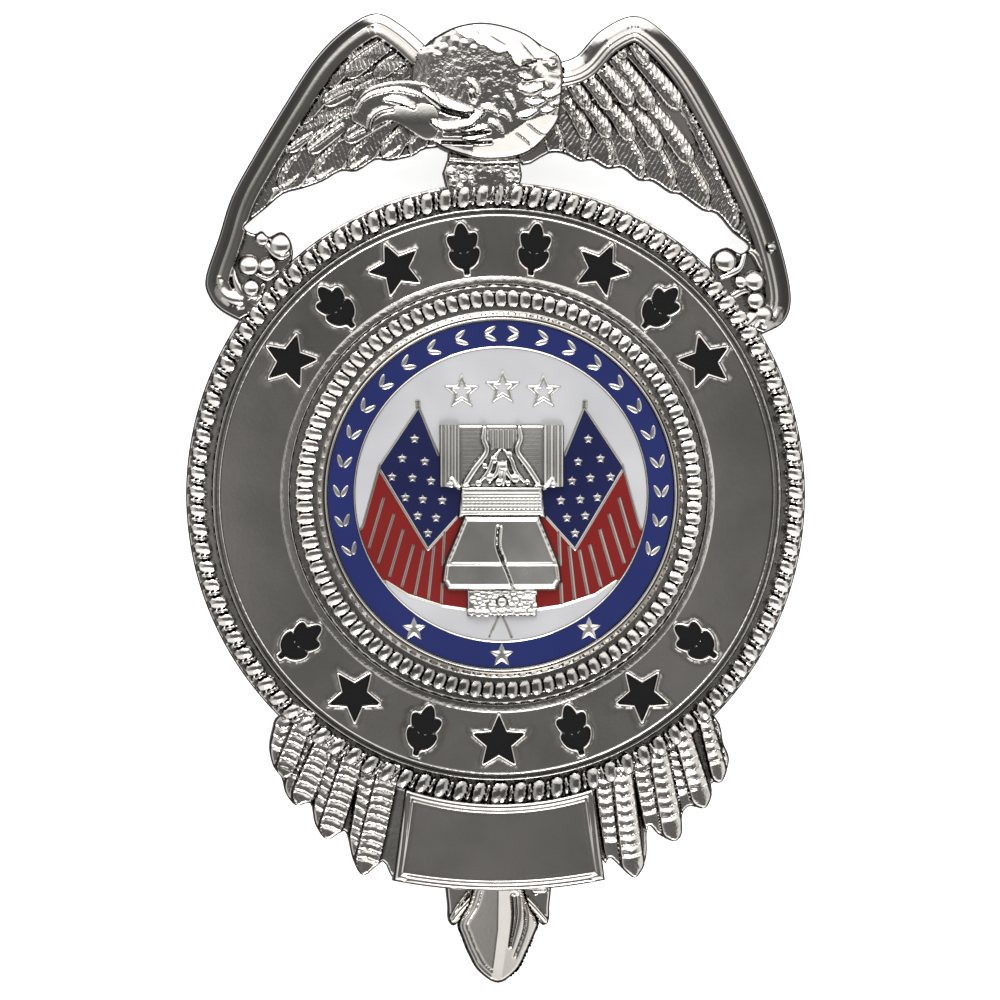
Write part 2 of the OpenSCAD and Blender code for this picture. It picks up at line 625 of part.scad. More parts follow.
// Rows: outline, inset of its top, height
BELL_FIGURES = [[YOKE_MID, 0.8, 2.3], [YOKE_SIDE, 0.5, 2.6], [mirrored(YOKE_SIDE), 0.5, 2.6],
    [SHOULDER, 0.7, 2.8], [BELL, 0.8, 2.6], [BASE, 0.4, 2.3]];
bolt_r = 0.6;
bolt_h = 2.4;

module bell_relief() {
    for (row = BELL_FIGURES) figure(row[0], row[1], row[2]);
    for (q = BOLTS) ball(q + [seal_x, ring_y], bolt_r, bolt_h);
}

module seal_metal() {
    color("gainsboro") {
        seal_layer(seat_h + gap, seal_floor_h) circle(seal_r, $fn = ring_fn);
        seal_layer(seat_h + gap, lip_h) annulus(seal_r, blue_r + gap);
        seal_layer(seat_h + gap, wall_h) {
            ring_stars();
            wreath_leaves();
            difference() {
                circle(white_r + gap + wall, $fn = ring_fn);
                offset(delta = gap) white_field(white_high_y, white_r);
                offset(delta = gap) white_field(-white_r, white_low_y);
                for (side = ["left", "right"]) {
                    offset(delta = gap) canton_field(side);
                    offset(delta = gap) stripes_field(side);
                }
            }
        }
        bell_relief();
    }
}

module enamel_layer() {
    seal_layer(seal_floor_h + gap, enamel_h) children();
}

module enamel_blue_ring() {
    color("navy")
        enamel_layer()
            difference() {
                annulus(blue_r, white_r + 2 * gap + wall);
                ring_stars(gap);
                wreath_leaves(gap);
            }
}

module enamel_white_upper() {
    color("white") enamel_layer() white_field(white_high_y, white_r);
}

module enamel_white_lower() {
    color("white") enamel_layer() white_field(-white_r, white_low_y);
}

module enamel_canton(side) {
    color("navy") enamel_layer() canton_field(side);
}

module enamel_stripes(side) {
    color("firebrick") enamel_layer() stripes_field(side);
}

// Brooch pin: bar, hinge block, stem and catch, plain and in one piece
bar_w = 5;
bar_t = 0.6;
hinge_l = 3.2;
catch_l = 2.6;
catch_w = 4;
stem_z = 1.3;
stem_root = 1;
stem_short = 0.4;
slot_w = 1.6;

module pin_back() {
    color("lightsteelblue") {
        translate([-bar_w / 2, -pin_l / 2, pin_depth - bar_t]) cube([bar_w, pin_l, bar_t]);
        translate([-bar_w / 2, pin_l / 2 - hinge_l, 0]) cube([bar_w, hinge_l, pin_depth]);
        difference() {
            translate([-catch_w / 2, -pin_l / 2, 0]) cube([catch_w, catch_l, pin_depth]);
            translate([stem_d / 2, -pin_l / 2 - catch_l / 2, stem_z - slot_w / 2])
                cube([catch_w, 2 * catch_l, slot_w]);
        }
        translate([0, pin_l / 2 - stem_root, stem_z])
            rotate([90, 0, 0])
                cylinder(d = stem_d, h = pin_l - stem_root - stem_short, $fn = 32);
    }
}

badge_body();
for (i = [0:upper_marks + lower_marks - 1])
    mark_enamel(i);
seal_metal();
enamel_blue_ring();
enamel_white_upper();
enamel_white_lower();
for (side = ["left", "right"]) {
    enamel_canton(side);
    enamel_stripes(side);
}
pin_back();
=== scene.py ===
# Round security badge: polished relief, enamels, floor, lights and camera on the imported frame.
# Places and heights are millimetres on the badge; MM turns them into the frame's metres.
# A height is measured above the bent back surface of the plate.
import math

import bpy
import numpy as np
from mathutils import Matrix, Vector
from mathutils.geometry import delaunay_2d_cdt


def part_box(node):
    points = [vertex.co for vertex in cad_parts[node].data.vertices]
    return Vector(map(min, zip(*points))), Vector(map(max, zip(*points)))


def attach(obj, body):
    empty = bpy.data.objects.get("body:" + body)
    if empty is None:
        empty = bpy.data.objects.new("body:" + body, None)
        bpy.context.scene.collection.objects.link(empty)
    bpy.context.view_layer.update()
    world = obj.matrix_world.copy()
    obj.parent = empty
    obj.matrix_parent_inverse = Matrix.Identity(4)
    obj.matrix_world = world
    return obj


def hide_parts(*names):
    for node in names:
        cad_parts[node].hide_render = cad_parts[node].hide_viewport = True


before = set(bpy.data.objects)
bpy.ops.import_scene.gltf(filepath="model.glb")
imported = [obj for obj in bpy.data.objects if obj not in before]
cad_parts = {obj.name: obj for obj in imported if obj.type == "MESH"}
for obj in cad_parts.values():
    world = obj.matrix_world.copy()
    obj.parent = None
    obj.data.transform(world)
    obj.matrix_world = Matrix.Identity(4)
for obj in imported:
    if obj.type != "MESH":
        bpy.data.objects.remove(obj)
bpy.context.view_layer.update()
body_low, body_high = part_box("badge_body")
seal_low, seal_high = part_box("seal_metal")
pin_low, pin_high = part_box("pin_back")

# Driving sizes, from the frame. The rings' middle lies a little above the frame's.
RIM_D = 61
MM = (body_high.x - body_low.x) / RIM_D
RIM_R = RIM_D / 2
BEND_R = 150
PIN_DEPTH = pin_high.z / MM
RING_Y = 0.4
SEAL = np.array([(seal_low.x + seal_high.x) / 2, (seal_low.y + seal_high.y) / 2]) / MM
SEAL_R = (seal_high.x - seal_low.x) / 2 / MM

# Heights above the back surface
PLATE_H = 1.6
FIELD_H = 1.3
SEAT_H = 0.8
GROOVE_H = 1.25
ROPE_H = 2.45
BEAD_H = 2.2
FLOOR_H = 1.4
ENAMEL_H = 1.85
WALL_H = 1.93

# Radii of the medallion's rings
LIP_R = 27.9
BAND_R = 27.15
INNER_LIP_R = 21.25
BEAD_R = 19.15
SEAT_R = SEAL_R + 0.1
BLUE_R = SEAL_R - 0.45
WHITE_R = 14.2
MARK_R = (BAND_R + INNER_LIP_R) / 2
MARK_H = 5
MARK_DEPTH = 0.5
RIBS = 100
BEADS = 100

# Nodes that the metal pieces stand for, with their material slots
PLATE = ("badge_body", "nickel_body")
SEAL_METAL = ("seal_metal", "nickel_seal")
PIN = ("pin_back", "pin_steel")


def back_z(x):
    return PIN_DEPTH - BEND_R + np.sqrt(BEND_R ** 2 - x ** 2)


def polar(r, degrees):
    a = np.radians(degrees)
    return np.stack([r * np.cos(a), r * np.sin(a)], axis=-1)


def curve(points, n=5, closed=False):
    """Smooth line through a few rows of numbers."""
    p = np.array(points, float)
    padded = np.vstack([p[-1], p, p[:2]]) if closed else np.vstack([p[0], p, p[-1]])
    t = (np.arange(n) / n)[:, None]
    parts = []
    for a, b, c, d in zip(padded, padded[1:], padded[2:], padded[3:]):
        square = 2 * a - 5 * b + 4 * c - d
        cube = 3 * b - a - 3 * c + d
        parts.append(0.5 * (2 * b + (c - a) * t + square * t ** 2 + cube * t ** 3))
    line = np.vstack(parts)
    return line if closed else np.vstack([line, p[-1]])


def flipped(points, side=-1):
    """Points mirrored about the badge's middle where the side is -1."""
    return np.array(points, float) * [side, 1]


def star(r, notch):
    """Outline of a five-pointed star. Notch: share of its radius between the points."""
    k = np.arange(10)
    return polar(np.where(k % 2 == 0, r, r * notch), 90 + 36 * k)


def leaf_outline(length, width, n):
    a = 2 * np.pi * np.arange(n) / n
    return np.stack([length / 2 * np.cos(a), width / 2 * np.sin(a) * (1 - 0.2 * np.cos(a))], axis=1)


def turned(points, degrees, place=(0, 0)):
    a = math.radians(degrees)
    way = np.array([[math.cos(a), math.sin(a)], [-math.sin(a), math.cos(a)]])
    return np.asarray(points) @ way + place


def smooth_step(t):
    t = np.clip(t, 0, 1)
    return t * t * (3 - 2 * t)


def hump(x, middle, half):
    """Soft bell curve of height 1."""
    return np.exp(-((x - middle) / half) ** 2)


def resampled(loop, step, closed=True):
    """Outline or line with its corners kept and no gap wider than a step."""
    ends = np.roll(loop, -1, axis=0) if closed else loop[1:]
    parts = []
    for a, b in zip(loop, ends):
        n = max(1, math.ceil(np.hypot(*(b - a)) / step))
        parts.append(a + (b - a) * (np.arange(n) / n)[:, None])
    return np.vstack(parts)


def inside(points, loop):
    """Which points lie inside a closed outline."""
    x, y = points[:, 0], points[:, 1]
    found = np.zeros(len(points), bool)
    for a, b in zip(loop, np.roll(loop, -1, axis=0)):
        if a[1] != b[1]:
            crosses = (a[1] > y) != (b[1] > y)
            found ^= crosses & (x < a[0] + (y - a[1]) * (b[0] - a[0]) / (b[1] - a[1]))
    return found


def within_any(points, loops):
    return np.any([inside(points, loop) for loop in loops], axis=0)


def nearest(points, line):
    """Signed distance from a line, and its row of numbers at the nearest place."""
    best = np.full(len(points), 1e9)
    signed = best.copy()
    rows = np.zeros((len(points), line.shape[1]))
    for a, b in zip(line, line[1:]):
        way = b[:2] - a[:2]
        off = points - a[:2]
        t = np.clip(off @ way / max(way @ way, 1e-12), 0, 1)
        gap = off - t[:, None] * way
        d = np.hypot(gap[:, 0], gap[:, 1])
        side = np.sign(way[0] * off[:, 1] - way[1] * off[:, 0])
        closer = d < best
        best[closer] = d[closer]
        signed[closer] = (d * side)[closer]
        rows[closer] = a + t[closer, None] * (b - a)
    return signed, rows


def distance_in(points, loop):
    """Distance from a closed outline, negative outside it."""
    d = np.abs(nearest(points, np.vstack([loop, loop[:1]]))[0])
    return np.where(inside(points, loop), d, -d)


def depth_in(points, loops):
    """Distance in from the outline of a union of shapes, negative outside it."""
    return np.max([distance_in(points, loop) for loop in loops], axis=0)


def joined_depth(points, loops):
    """Like depth_in, but deep too where two shapes only just overlap."""
    return np.log(np.sum([np.exp(6 * distance_in(points, loop)) for loop in loops], axis=0)) / 6


def lattice(low, high, step):
    """Points of a triangular lattice in a box."""
    rise = step * math.sqrt(3) / 2
    ys = np.arange(low[1], high[1] + rise, rise)
    xs = np.arange(low[0], high[0] + step, step)
    x = xs[None, :] + (np.arange(len(ys)) % 2)[:, None] * step / 2
    return np.stack([x.ravel(), np.repeat(ys, len(xs))], axis=1)


def lattice_over(loops, step):
    every = np.vstack(loops)
    return lattice(every.min(0), every.max(0), step)


def side_of(line, closed=False):
    """Unit vectors to the left of a line at its points."""
    if closed:
        way = np.roll(line, -1, axis=0) - np.roll(line, 1, axis=0)
    else:
        way = np.gradient(line, axis=0)
    return np.stack([-way[:, 1], way[:, 0]], axis=1) / np.hypot(*way.T)[:, None]


# Points of a line between two of its rows, and the smallest half width
SMOOTH, THIN = 4, 0.01
# Height that is lower than any relief
NOWHERE = -9
# Share of its length over which a feather widens from its root
WIDENS = 1 / 1.6
# Share of a stroke's rise from its right edge to its left one
WEDGE_AT, WEDGE = [-1, -0.7, 1, 1.01], [0, 1, 0.05, 0]


class Relief:
    """Heights over points of the plate. A stroke covers what it meets or rises out of it.
    Fine: turns and rise of the barbs, rise of the grain, and patina with painted shade."""

    def __init__(self, points, height):
        self.p = points
        self.h = np.full(len(points), float(height))
        self.fine = np.zeros((len(points), 4))

    def around(self, line, reach):
        low = line[:, :2].min(0) - reach
        high = line[:, :2].max(0) + reach
        return np.flatnonzero(np.all((self.p > low) & (self.p < high), axis=1))

    def along(self, rows, reach):
        """Points near a line, their places across it in half widths, and its half width and last number."""
        line = curve(rows, SMOOTH)
        near = self.around(line, reach * line[:, 2].max())
        d, row = nearest(self.p[near], line)
        return near, d / np.maximum(row[:, 2], THIN), row[:, 2], row[:, 3]

    def ridge(self, rows):
        """Rounded ridge. Rows: x, y, half width, height of the crest."""
        near, across, half, crest = self.along(rows, 1)
        top = crest - half * (1 - np.sqrt(np.clip(1 - across ** 2, 0, 1)))
        self.h[near] = np.maximum(self.h[near], np.where(np.abs(across) < 1, top, NOWHERE))

    def stroke(self, rows):
        """Adds a wedge, high at the right of its line, with a fine groove round it.
        Rows: x, y, half width, rise."""
        near, across, _, rise = self.along(rows, 1.6)
        self.h[near] += rise * np.interp(across, WEDGE_AT, WEDGE) - 0.05 * hump(np.abs(across), 1.15, 0.2)

    def bump(self, rows):
        """Soft swelling, or a groove. Rows: x, y, half width, change of height."""
        near, across, _, change = self.along(rows, 2.5)
        self.h[near] += change * np.exp(-across ** 2)

    def ball(self, x, y, r, h, tall=1.0, lean=0.0):
        """Part of a ball. Lean tips it towards the top of the badge."""
        near = self.around(np.array([[x, y]]), r)
        off = self.p[near] - [x, y]
        d = np.hypot(*off.T)
        rise = h + tall * np.sqrt(np.clip(r * r - d * d, 0, None)) - lean * off[:, 1]
        self.h[near] = np.maximum(self.h[near], np.where(d < r, rise, NOWHERE))

    def scale(self, x, y, r, rise):
        """Adds a small round swelling."""
        near = self.around(np.array([[x, y]]), r)
        d = np.hypot(*(self.p[near] - [x, y]).T)
        self.h[near] += rise * np.clip(1 - (d / r) ** 2, 0, 1)

    def shape(self, loop, top, roll, fall):
        """Lays a shape with a rolled edge over what is there; top is a height or a function."""
        near = self.around(loop, 0)
        near = near[inside(self.p[near], loop)]
        d = distance_in(self.p[near], loop)
        height = top(self.p[near]) if callable(top) else top
        over = np.clip(1 - d / roll, 0, 1)
        self.h[near] = height - fall * (1 - np.sqrt(1 - over ** 2))

    def feather(self, row, outer, bow, waist, taper):
        """Places on a feather. Row: root x, root y, tip x, tip y, width. Gives the points near it, their
        distance along it, the rest of its length, the place across it, its half width, and the distance
        in from its edge."""
        root, tip, width = np.array(row[:2]), np.array(row[2:4]), row[4]
        length = np.hypot(*(tip - root))
        way = (tip - root) / length
        near = self.around(np.array([root, tip]), width)
        off = self.p[near] - root
        s = off @ way
        share = np.clip(s / length, 0, 1)
        t = (off @ [-way[1], way[0]]) * outer - 4 * bow * share * (1 - share)
        half = width / 2 * (waist + (1 - waist) * np.minimum(1, share / WIDENS))
        past = np.clip((s - length + width * taper) / (width * taper), 0, 1)
        half = half * np.sqrt(np.clip(1 - past ** 2, 0, 1)) + 1e-6
        return near, s, length - s, t, half, half - np.abs(t)


# Mesh pieces
def adopted(name, mesh, part):
    """Adds a mesh that rides on the badge. Part: the node it stands for, and its slot."""
    node, slot = part
    mesh.materials.append(FINISH[slot])
    piece = bpy.data.objects.new(name, mesh)
    bpy.context.scene.collection.objects.link(piece)
    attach(piece, "root")
    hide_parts(node)
    return piece


def mesh_object(name, points, faces, part, sharp=38, fine=None):
    """Adds a closed mesh. Sharp: angle of the edges that aren't shaded smoothly. Fine: Relief's rows,
    for the first points."""
    mesh = bpy.data.meshes.new(name)
    mesh.from_pydata(points.tolist(), [], [list(f) for f in faces])
    mesh.validate()
    mesh.shade_smooth()
    mesh.set_sharp_from_angle(angle=math.radians(sharp))
    if fine is not None:
        rows = np.vstack([fine, np.zeros((len(points) - len(fine), 4))]).astype(np.float32)
        relief = mesh.attributes.new("fine_relief", "FLOAT_VECTOR", "POINT")
        relief.data.foreach_set("vector", rows[:, :3].ravel())
        # Patina and painted shade, which the metals read to darken their colour
        patina_and_shade = mesh.attributes.new("patina_and_shade", "FLOAT", "POINT")
        patina_and_shade.data.foreach_set("value", rows[:, 3].copy())
    adopted(name, mesh, part)


def placed(points, heights):
    x, y = points[:, 0], points[:, 1]
    return np.stack([x, y, back_z(x) + heights], axis=1) * MM


def triangles(loops, points, chosen):
    """Triangulates outlines and points between them, and keeps the triangles that are chosen."""
    start = 0
    edges = []
    for loop in loops:
        n = len(loop)
        edges += [(start + k, start + (k + 1) % n) for k in range(n)]
        start += n
    made = delaunay_2d_cdt([Vector(p) for p in np.vstack([*loops, points])], edges, [], 0, 1e-5, False)
    verts = np.array([[v.x, v.y] for v in made[0]])
    tris = np.array(made[2])
    return verts, tris[chosen(verts[tris].mean(axis=1))]


def border_edges(tris):
    """Edges that only one triangle has, in its direction."""
    edges = np.vstack([tris[:, [0, 1]], tris[:, [1, 2]], tris[:, [2, 0]]])
    keys = np.sort(edges, axis=1)
    _, first, count = np.unique(keys, axis=0, return_index=True, return_counts=True)
    return edges[first[count == 1]]


def recounted(rows):
    """The points that rows of numbers name, and the rows counted in those points."""
    used, places = np.unique(rows, return_inverse=True)
    return used, places.reshape(rows.shape)


def solid(name, loops, points, chosen, height, foot=0.0, part=PLATE, sharp=38):
    """Closed piece: a relief over outlines, upright sides and a plain underside."""
    verts, tris = triangles(loops, points, chosen)
    used, tris = recounted(tris)
    verts = verts[used]
    rim = border_edges(tris)
    rim_used, low_rim = recounted(rim)
    low_flat = verts[rim_used]
    made = delaunay_2d_cdt([Vector(p) for p in low_flat], low_rim.tolist(), [], 0, 1e-6, True)
    under = np.array([[made[3][k][0] for k in f] for f in made[2]])
    under = under[chosen(low_flat[under].mean(axis=1))] + len(verts)
    walls = np.stack([rim[:, 1], rim[:, 0], low_rim[:, 0] + len(verts), low_rim[:, 1] + len(verts)], axis=1)
    made = height(verts)
    top_h, fine = made if isinstance(made, tuple) else (made, None)
    points = np.vstack([placed(verts, top_h), placed(low_flat, np.full(len(low_flat), float(foot)))])
    faces = [*tris.tolist(), *walls.tolist(), *under[:, ::-1].tolist()]
    mesh_object(name, points, faces, part, sharp, fine)


# Distances from an outline of the rows of points that keep its rolled edge smooth
EDGE_ROWS = (0.05, 0.12, 0.21, 0.31)
# Room kept free beside the rows that follow a line or an outline, in steps, and between both in mm
LINE_ROOM, EDGE_ROOM, ROOM = 0.5, 0.4, 0.03
# How far a point of such a row may be from its distance, where lines bend or outlines cross
LINE_STRAY, EDGE_STRAY = 0.02, 0.012
# Steps of the points over the reliefs
EAGLE_STEP, HEAD_STEP, FEATHER_STEP, PANEL_STEP, BELL_STEP = 0.108, 0.092, 0.11, 0.3, 0.1


def relief_piece(name, outlines, paint, step, foot=0.0, part=PLATE, fine=None, rows=(), edge_rows=EDGE_ROWS):
    """Closed relief over the union of some outlines. Fine: a loop with its own smaller step.
    Rows: lines with the distances of the rows of points that follow them."""
    loops = [resampled(loop, step) for loop in outlines]
    points = lattice_over(loops, step)
    if fine is not None:
        ring, fine_step = fine
        extra = lattice_over([ring], fine_step)
        points = np.vstack([points[~inside(points, ring)], extra[inside(extra, ring)]])
    followed = []
    room = LINE_ROOM * step
    for line, distances in rows:
        away = nearest(points, line)[0]
        points = points[(away < min(distances) - room) | (away > max(distances) + room)]
        dense = resampled(line, step, False)
        side = side_of(dense, True)
        side[0], side[-1] = side[1], side[-2]
        for d in distances:
            row = dense + side * d
            followed.append(row[np.abs(nearest(row, line)[0] - d) < LINE_STRAY])
    points = points[depth_in(points, loops) > edge_rows[-1] + EDGE_ROOM * step]
    if followed:
        lines = np.vstack(followed)
        points = np.vstack([points, lines[depth_in(lines, loops) > edge_rows[-1] + ROOM]])
    edges = []
    for loop in loops:
        dense = resampled(loop, step)
        side = side_of(dense, True)
        x, y = loop.T
        turn = np.sign(np.sum(x * np.roll(y, -1) - np.roll(x, -1) * y))
        for d in edge_rows:
            row = dense + side * turn * d
            edges.append(row[np.abs(depth_in(row, loops) - d) < EDGE_STRAY])
    solid(name, loops, np.vstack([points, *edges]), lambda p: within_any(p, loops), paint, foot, part)


# Painted shade at the top and, darker, at the bottom of a ring with grain
SHADE_TOP, SHADE_BOTTOM = 0.35, 0.8


def ring_piece(name, radii, columns, height, foot=0.0, part=PLATE, shift=None, fine=None):
    """Closed ring over a polar grid, or a disc where the first radius is nearly nought.
    Fine: rise of the grain; such a ring also gets painted shade, darker towards its bottom."""
    rows = len(radii)
    r = np.repeat(radii, columns)
    angle = np.tile(2 * np.pi * np.arange(columns) / columns, rows)
    dx = np.zeros(rows) if shift is None else shift(np.array(radii))
    flat = np.stack([r * np.cos(angle) + np.repeat(dx, columns), r * np.sin(angle) + RING_Y], axis=1)
    ends = np.concatenate([flat[:columns], flat[-columns:]])
    points = np.vstack([placed(flat, height(r, angle)), placed(ends, np.full(2 * columns, float(foot)))])
    k = np.arange(columns)
    after = (k + 1) % columns
    n = rows * columns
    # Rows of points that faces join: the grid's, then the outer side, the underside and the inner side
    starts = [(row * columns, (row + 1) * columns) for row in range(rows - 1)]
    starts += [(n - columns, n + columns), (n + columns, n), (n, 0)]
    quads = [np.stack([a + k, b + k, b + after, a + after], axis=1) for a, b in starts]
    if fine is not None:
        # Painted shade: the ring's colour darkens towards its top and more towards its bottom
        shade_and_patina = np.where(np.sin(angle) < 0, -SHADE_BOTTOM, SHADE_TOP) * np.sin(angle)
        plain = np.zeros(len(angle))
        fine = np.stack([plain, plain, plain + fine, shade_and_patina], axis=1)
    mesh_object(name, points, np.vstack(quads).tolist(), part, fine=fine)


# Materials
def new_material(name):
    material = bpy.data.materials.new(name)
    material.use_nodes = True
    tree = material.node_tree
    return material, tree, tree.nodes["Principled BSDF"]


def add(tree, kind, **values):
    """Adds a node and sets its properties; a value whose name is a socket's is set there."""
    node = tree.nodes.new(kind)
    for key, value in values.items():
        if key in node.inputs:
            node.inputs[key].default_value = value
        else:
            setattr(node, key, value)
    return node


def blended(tree, value, low, high, dark, bright):
    """Smooth step of a value between two others."""
    node = add(tree, "ShaderNodeMapRange", interpolation_type="SMOOTHSTEP")
    for key, number in (("From Min", low), ("From Max", high), ("To Min", dark), ("To Max", bright)):
        node.inputs[key].default_value = number
    tree.links.new(value, node.inputs["Value"])
    return node.outputs["Result"]


def combined(tree, kind, a, b):
    """Two values through a math node."""
    node = add(tree, "ShaderNodeMath", operation=kind)
    for socket, value in zip(node.inputs, (a, b)):
        if isinstance(value, (int, float)):
            socket.default_value = value
        else:
            tree.links.new(value, socket)
    return node.outputs[0]


def split(tree, vector):
    """The three numbers of a vector, by name."""
    parts = add(tree, "ShaderNodeSeparateXYZ")
    tree.links.new(vector, parts.inputs["Vector"])
    return parts.outputs


def noise_on(tree, place, **values):
    noise = add(tree, "ShaderNodeTexNoise", **values)
    tree.links.new(place, noise.inputs["Vector"])
    return noise.outputs["Fac"]


def ramped(tree, value, stops):
    """Colour ramp of a value. Stops: position and colour of its two ends."""
    ramp = add(tree, "ShaderNodeValToRGB")
    for element, (position, colour) in zip(ramp.color_ramp.elements, stops):
        element.position = position
        element.color = (*colour, 1)
    tree.links.new(value, ramp.inputs["Fac"])
    return ramp.outputs["Color"]


def fine_height(tree, place):
    """Height of the feathers' barbs and of the grain of the face, in millimetres."""
    given = split(tree, add(tree, "ShaderNodeAttribute", attribute_name="fine_relief").outputs["Vector"])
    noise = noise_on(tree, place, Scale=1700.0, Detail=2.0, Roughness=0.5)
    swing = combined(tree, "SUBTRACT", noise, 0.5)
    turns = combined(tree, "ADD", given["X"], combined(tree, "MULTIPLY", swing, 0.8))
    wave = combined(tree, "SINE", combined(tree, "MULTIPLY", turns, 2 * math.pi), 0)
    barbs = combined(tree, "MULTIPLY", wave, given["Y"])
    grain = combined(tree, "MULTIPLY", swing, given["Z"])
    return combined(tree, "ADD", barbs, grain)


# Shares of the normal along Z where a slope gets its full painted shade and where it is bright, and
# where a wall counts as upright and its painted shade is lighter again
STEEP = (0.55, 0.8)
UPRIGHT = (0.1, 0.3)
# Brightness of the painted shade on dark slopes and on upright walls
SLOPE_SHADE, WALL_SHADE = 0.12, 0.6
# Pointiness of the hollows that are fully darkened by tarnish and painted shade, and where that ends
HOLLOW = (0.4, 0.5)


def darkening(tree, normal, wear):
    """Brightness from painted shade on steep slopes, from the patina and painted shade that the mesh carries,
    and from the wear.
    """
    # Painted shade: the colour of steep slopes is darkened, that of upright walls a little less
    along_z = combined(tree, "ABSOLUTE", split(tree, normal)["Z"], 0)
    steep = combined(tree, "MAXIMUM", blended(tree, along_z, *STEEP, SLOPE_SHADE, 1),
                     blended(tree, along_z, *UPRIGHT, WALL_SHADE, SLOPE_SHADE))
    # Patina and painted shade: darkens the colour down to half
    shade_and_patina = add(tree, "ShaderNodeAttribute", attribute_name="patina_and_shade").outputs["Fac"]
    steep = combined(tree, "MULTIPLY", steep, blended(tree, shade_and_patina, 0, 1, 1, 0.5))
    return combined(tree, "MULTIPLY", steep, blended(tree, wear, 0.3, 0.7, 0.86, 1.1))


def metal(name, colour, roughness, grain, tarnish_and_shade):
    """Polished metal: fine hairlines, soft wear, tarnish and painted shade in the hollows, and painted shade
    on steep sides.
    """
    material, tree, shader = new_material(name)
    shader.inputs["Metallic"].default_value = 1
    link = tree.links.new
    place = add(tree, "ShaderNodeTexCoord").outputs["Object"]
    hair = noise_on(tree, place, Scale=2600.0, Detail=3.0, Roughness=0.6)
    wear = noise_on(tree, place, Scale=90.0, Detail=4.0, Roughness=0.55)
    rough = add(tree, "ShaderNodeMapRange")
    rough.inputs["To Min"].default_value = roughness * 0.6
    rough.inputs["To Max"].default_value = roughness * 1.5
    link(wear, rough.inputs["Value"])
    link(rough.outputs["Result"], shader.inputs["Roughness"])
    bump = add(tree, "ShaderNodeBump", Strength=grain, Distance=0.00002)
    link(hair, bump.inputs["Height"])
    barbs = add(tree, "ShaderNodeBump", Strength=1.0, Distance=MM)
    link(fine_height(tree, place), barbs.inputs["Height"])
    link(bump.outputs["Normal"], barbs.inputs["Normal"])
    link(barbs.outputs["Normal"], shader.inputs["Normal"])
    shape = add(tree, "ShaderNodeNewGeometry")
    worn_and_shaded = add(tree, "ShaderNodeMix", data_type="RGBA", blend_type="MULTIPLY")
    worn_and_shaded.inputs["Factor"].default_value = 1
    # Tarnish and painted shade: hollows found by their pointiness take the darker colour
    tarnished_and_shaded = ramped(tree, shape.outputs["Pointiness"], ((HOLLOW[0], tarnish_and_shade), (HOLLOW[1], colour)))
    link(tarnished_and_shaded, worn_and_shaded.inputs[6])
    link(darkening(tree, shape.outputs["Normal"], wear), worn_and_shaded.inputs[7])
    link(worn_and_shaded.outputs[2], shader.inputs["Base Color"])
    return material


def enamel(name, colour, roughness=0.12):
    """Glossy enamel with a faint ripple."""
    material, tree, shader = new_material(name)
    shader.inputs["Roughness"].default_value = roughness
    shader.inputs["IOR"].default_value = 1.5
    noise = noise_on(tree, add(tree, "ShaderNodeTexCoord").outputs["Object"], Scale=160.0, Detail=2.0)
    tones = ((0, [c * 0.8 for c in colour]), (1, [min(1, c * 1.15) for c in colour]))
    tree.links.new(ramped(tree, noise, tones), shader.inputs["Base Color"])
    bump = add(tree, "ShaderNodeBump", Strength=0.03, Distance=0.0002)
    tree.links.new(noise, bump.inputs["Height"])
    tree.links.new(bump.outputs["Normal"], shader.inputs["Normal"])
    return material


# Materials by slot
# The last colour of each metal is its tarnish, with painted shade, in the hollows
FINISH = {
    "nickel_body": metal("polished_nickel", (0.74, 0.7, 0.655), 0.1, 0.25, (0.2, 0.185, 0.165)),
    "nickel_seal": metal("seal_nickel", (0.8, 0.78, 0.73), 0.24, 0.3, (0.3, 0.28, 0.24)),
    "pin_steel": metal("pin_steel", (0.55, 0.55, 0.56), 0.3, 0.4, (0.25, 0.25, 0.25)),
    "black_enamel": enamel("black_enamel", (0.004, 0.004, 0.004), 0.25),
    "blue_enamel": enamel("blue_enamel", (0.014, 0.02, 0.095)),
    "canton_enamel": enamel("canton_enamel", (0.01, 0.012, 0.052)),
    "white_enamel": enamel("white_enamel", (0.41, 0.41, 0.42)),
    "red_enamel": enamel("red_enamel", (0.15, 0.011, 0.01))}


# Medallion rings
def pillow(base, across, out, crest, fall_across, fall_out, lean, edge):
    """Bead with a rounded top that leans to one side, over the surface between the beads."""
    q = np.abs(across) ** 2.6 + np.abs(out) ** 4
    top = crest - fall_across * across ** 2 - fall_out * out ** 2 - lean * across
    return np.where(q < 1, base + (top - base) * smooth_step((1 - q) / edge), base)


def centred(angle, count):
    """Angle from the middle of the nearest of some even parts of the circle."""
    pitch = 2 * np.pi / count
    return (angle + pitch / 2) % pitch - pitch / 2


# Lips outside the band. Rows: distance out from the band, and height over it
OUTER_LIPS = [[-0.15, -0.05], [0, 0], [0.06, 0.38], [0.14, 0.44], [0.2, 0.45], [0.36, 0.45], [0.4, 0.38],
              [0.45, 0.38], [0.5, 0.45], [0.66, 0.45], [0.7, 0.44], [0.78, 0.36], [0.84, -0.2], [0.9, -0.35]]
# Ribs: radius of their middle, half length, shift and shortening on the flanks, turn for each millimetre
RIB_R, RIB_HALF, RIB_SHIFT, RIB_SHORTER, RIB_TURN = 29.2, 1.1, 0.25, 0.28, 0.006
# Columns of points for each rib and each bead
RIB_COLUMNS, BEAD_COLUMNS = 18, 12
# A wide rib and a narrow one under it. Rows: place, half width, share of the length, depth under the
# rope's height, then pillow's falls, lean and edge
RIB_PAIR = ((-0.16, 0.67, 1, 0, 0.26, 0.26, 0.12, 0.3), (0.69, 0.22, 0.88, 0.22, 0.12, 0.2, 0, 0.4))


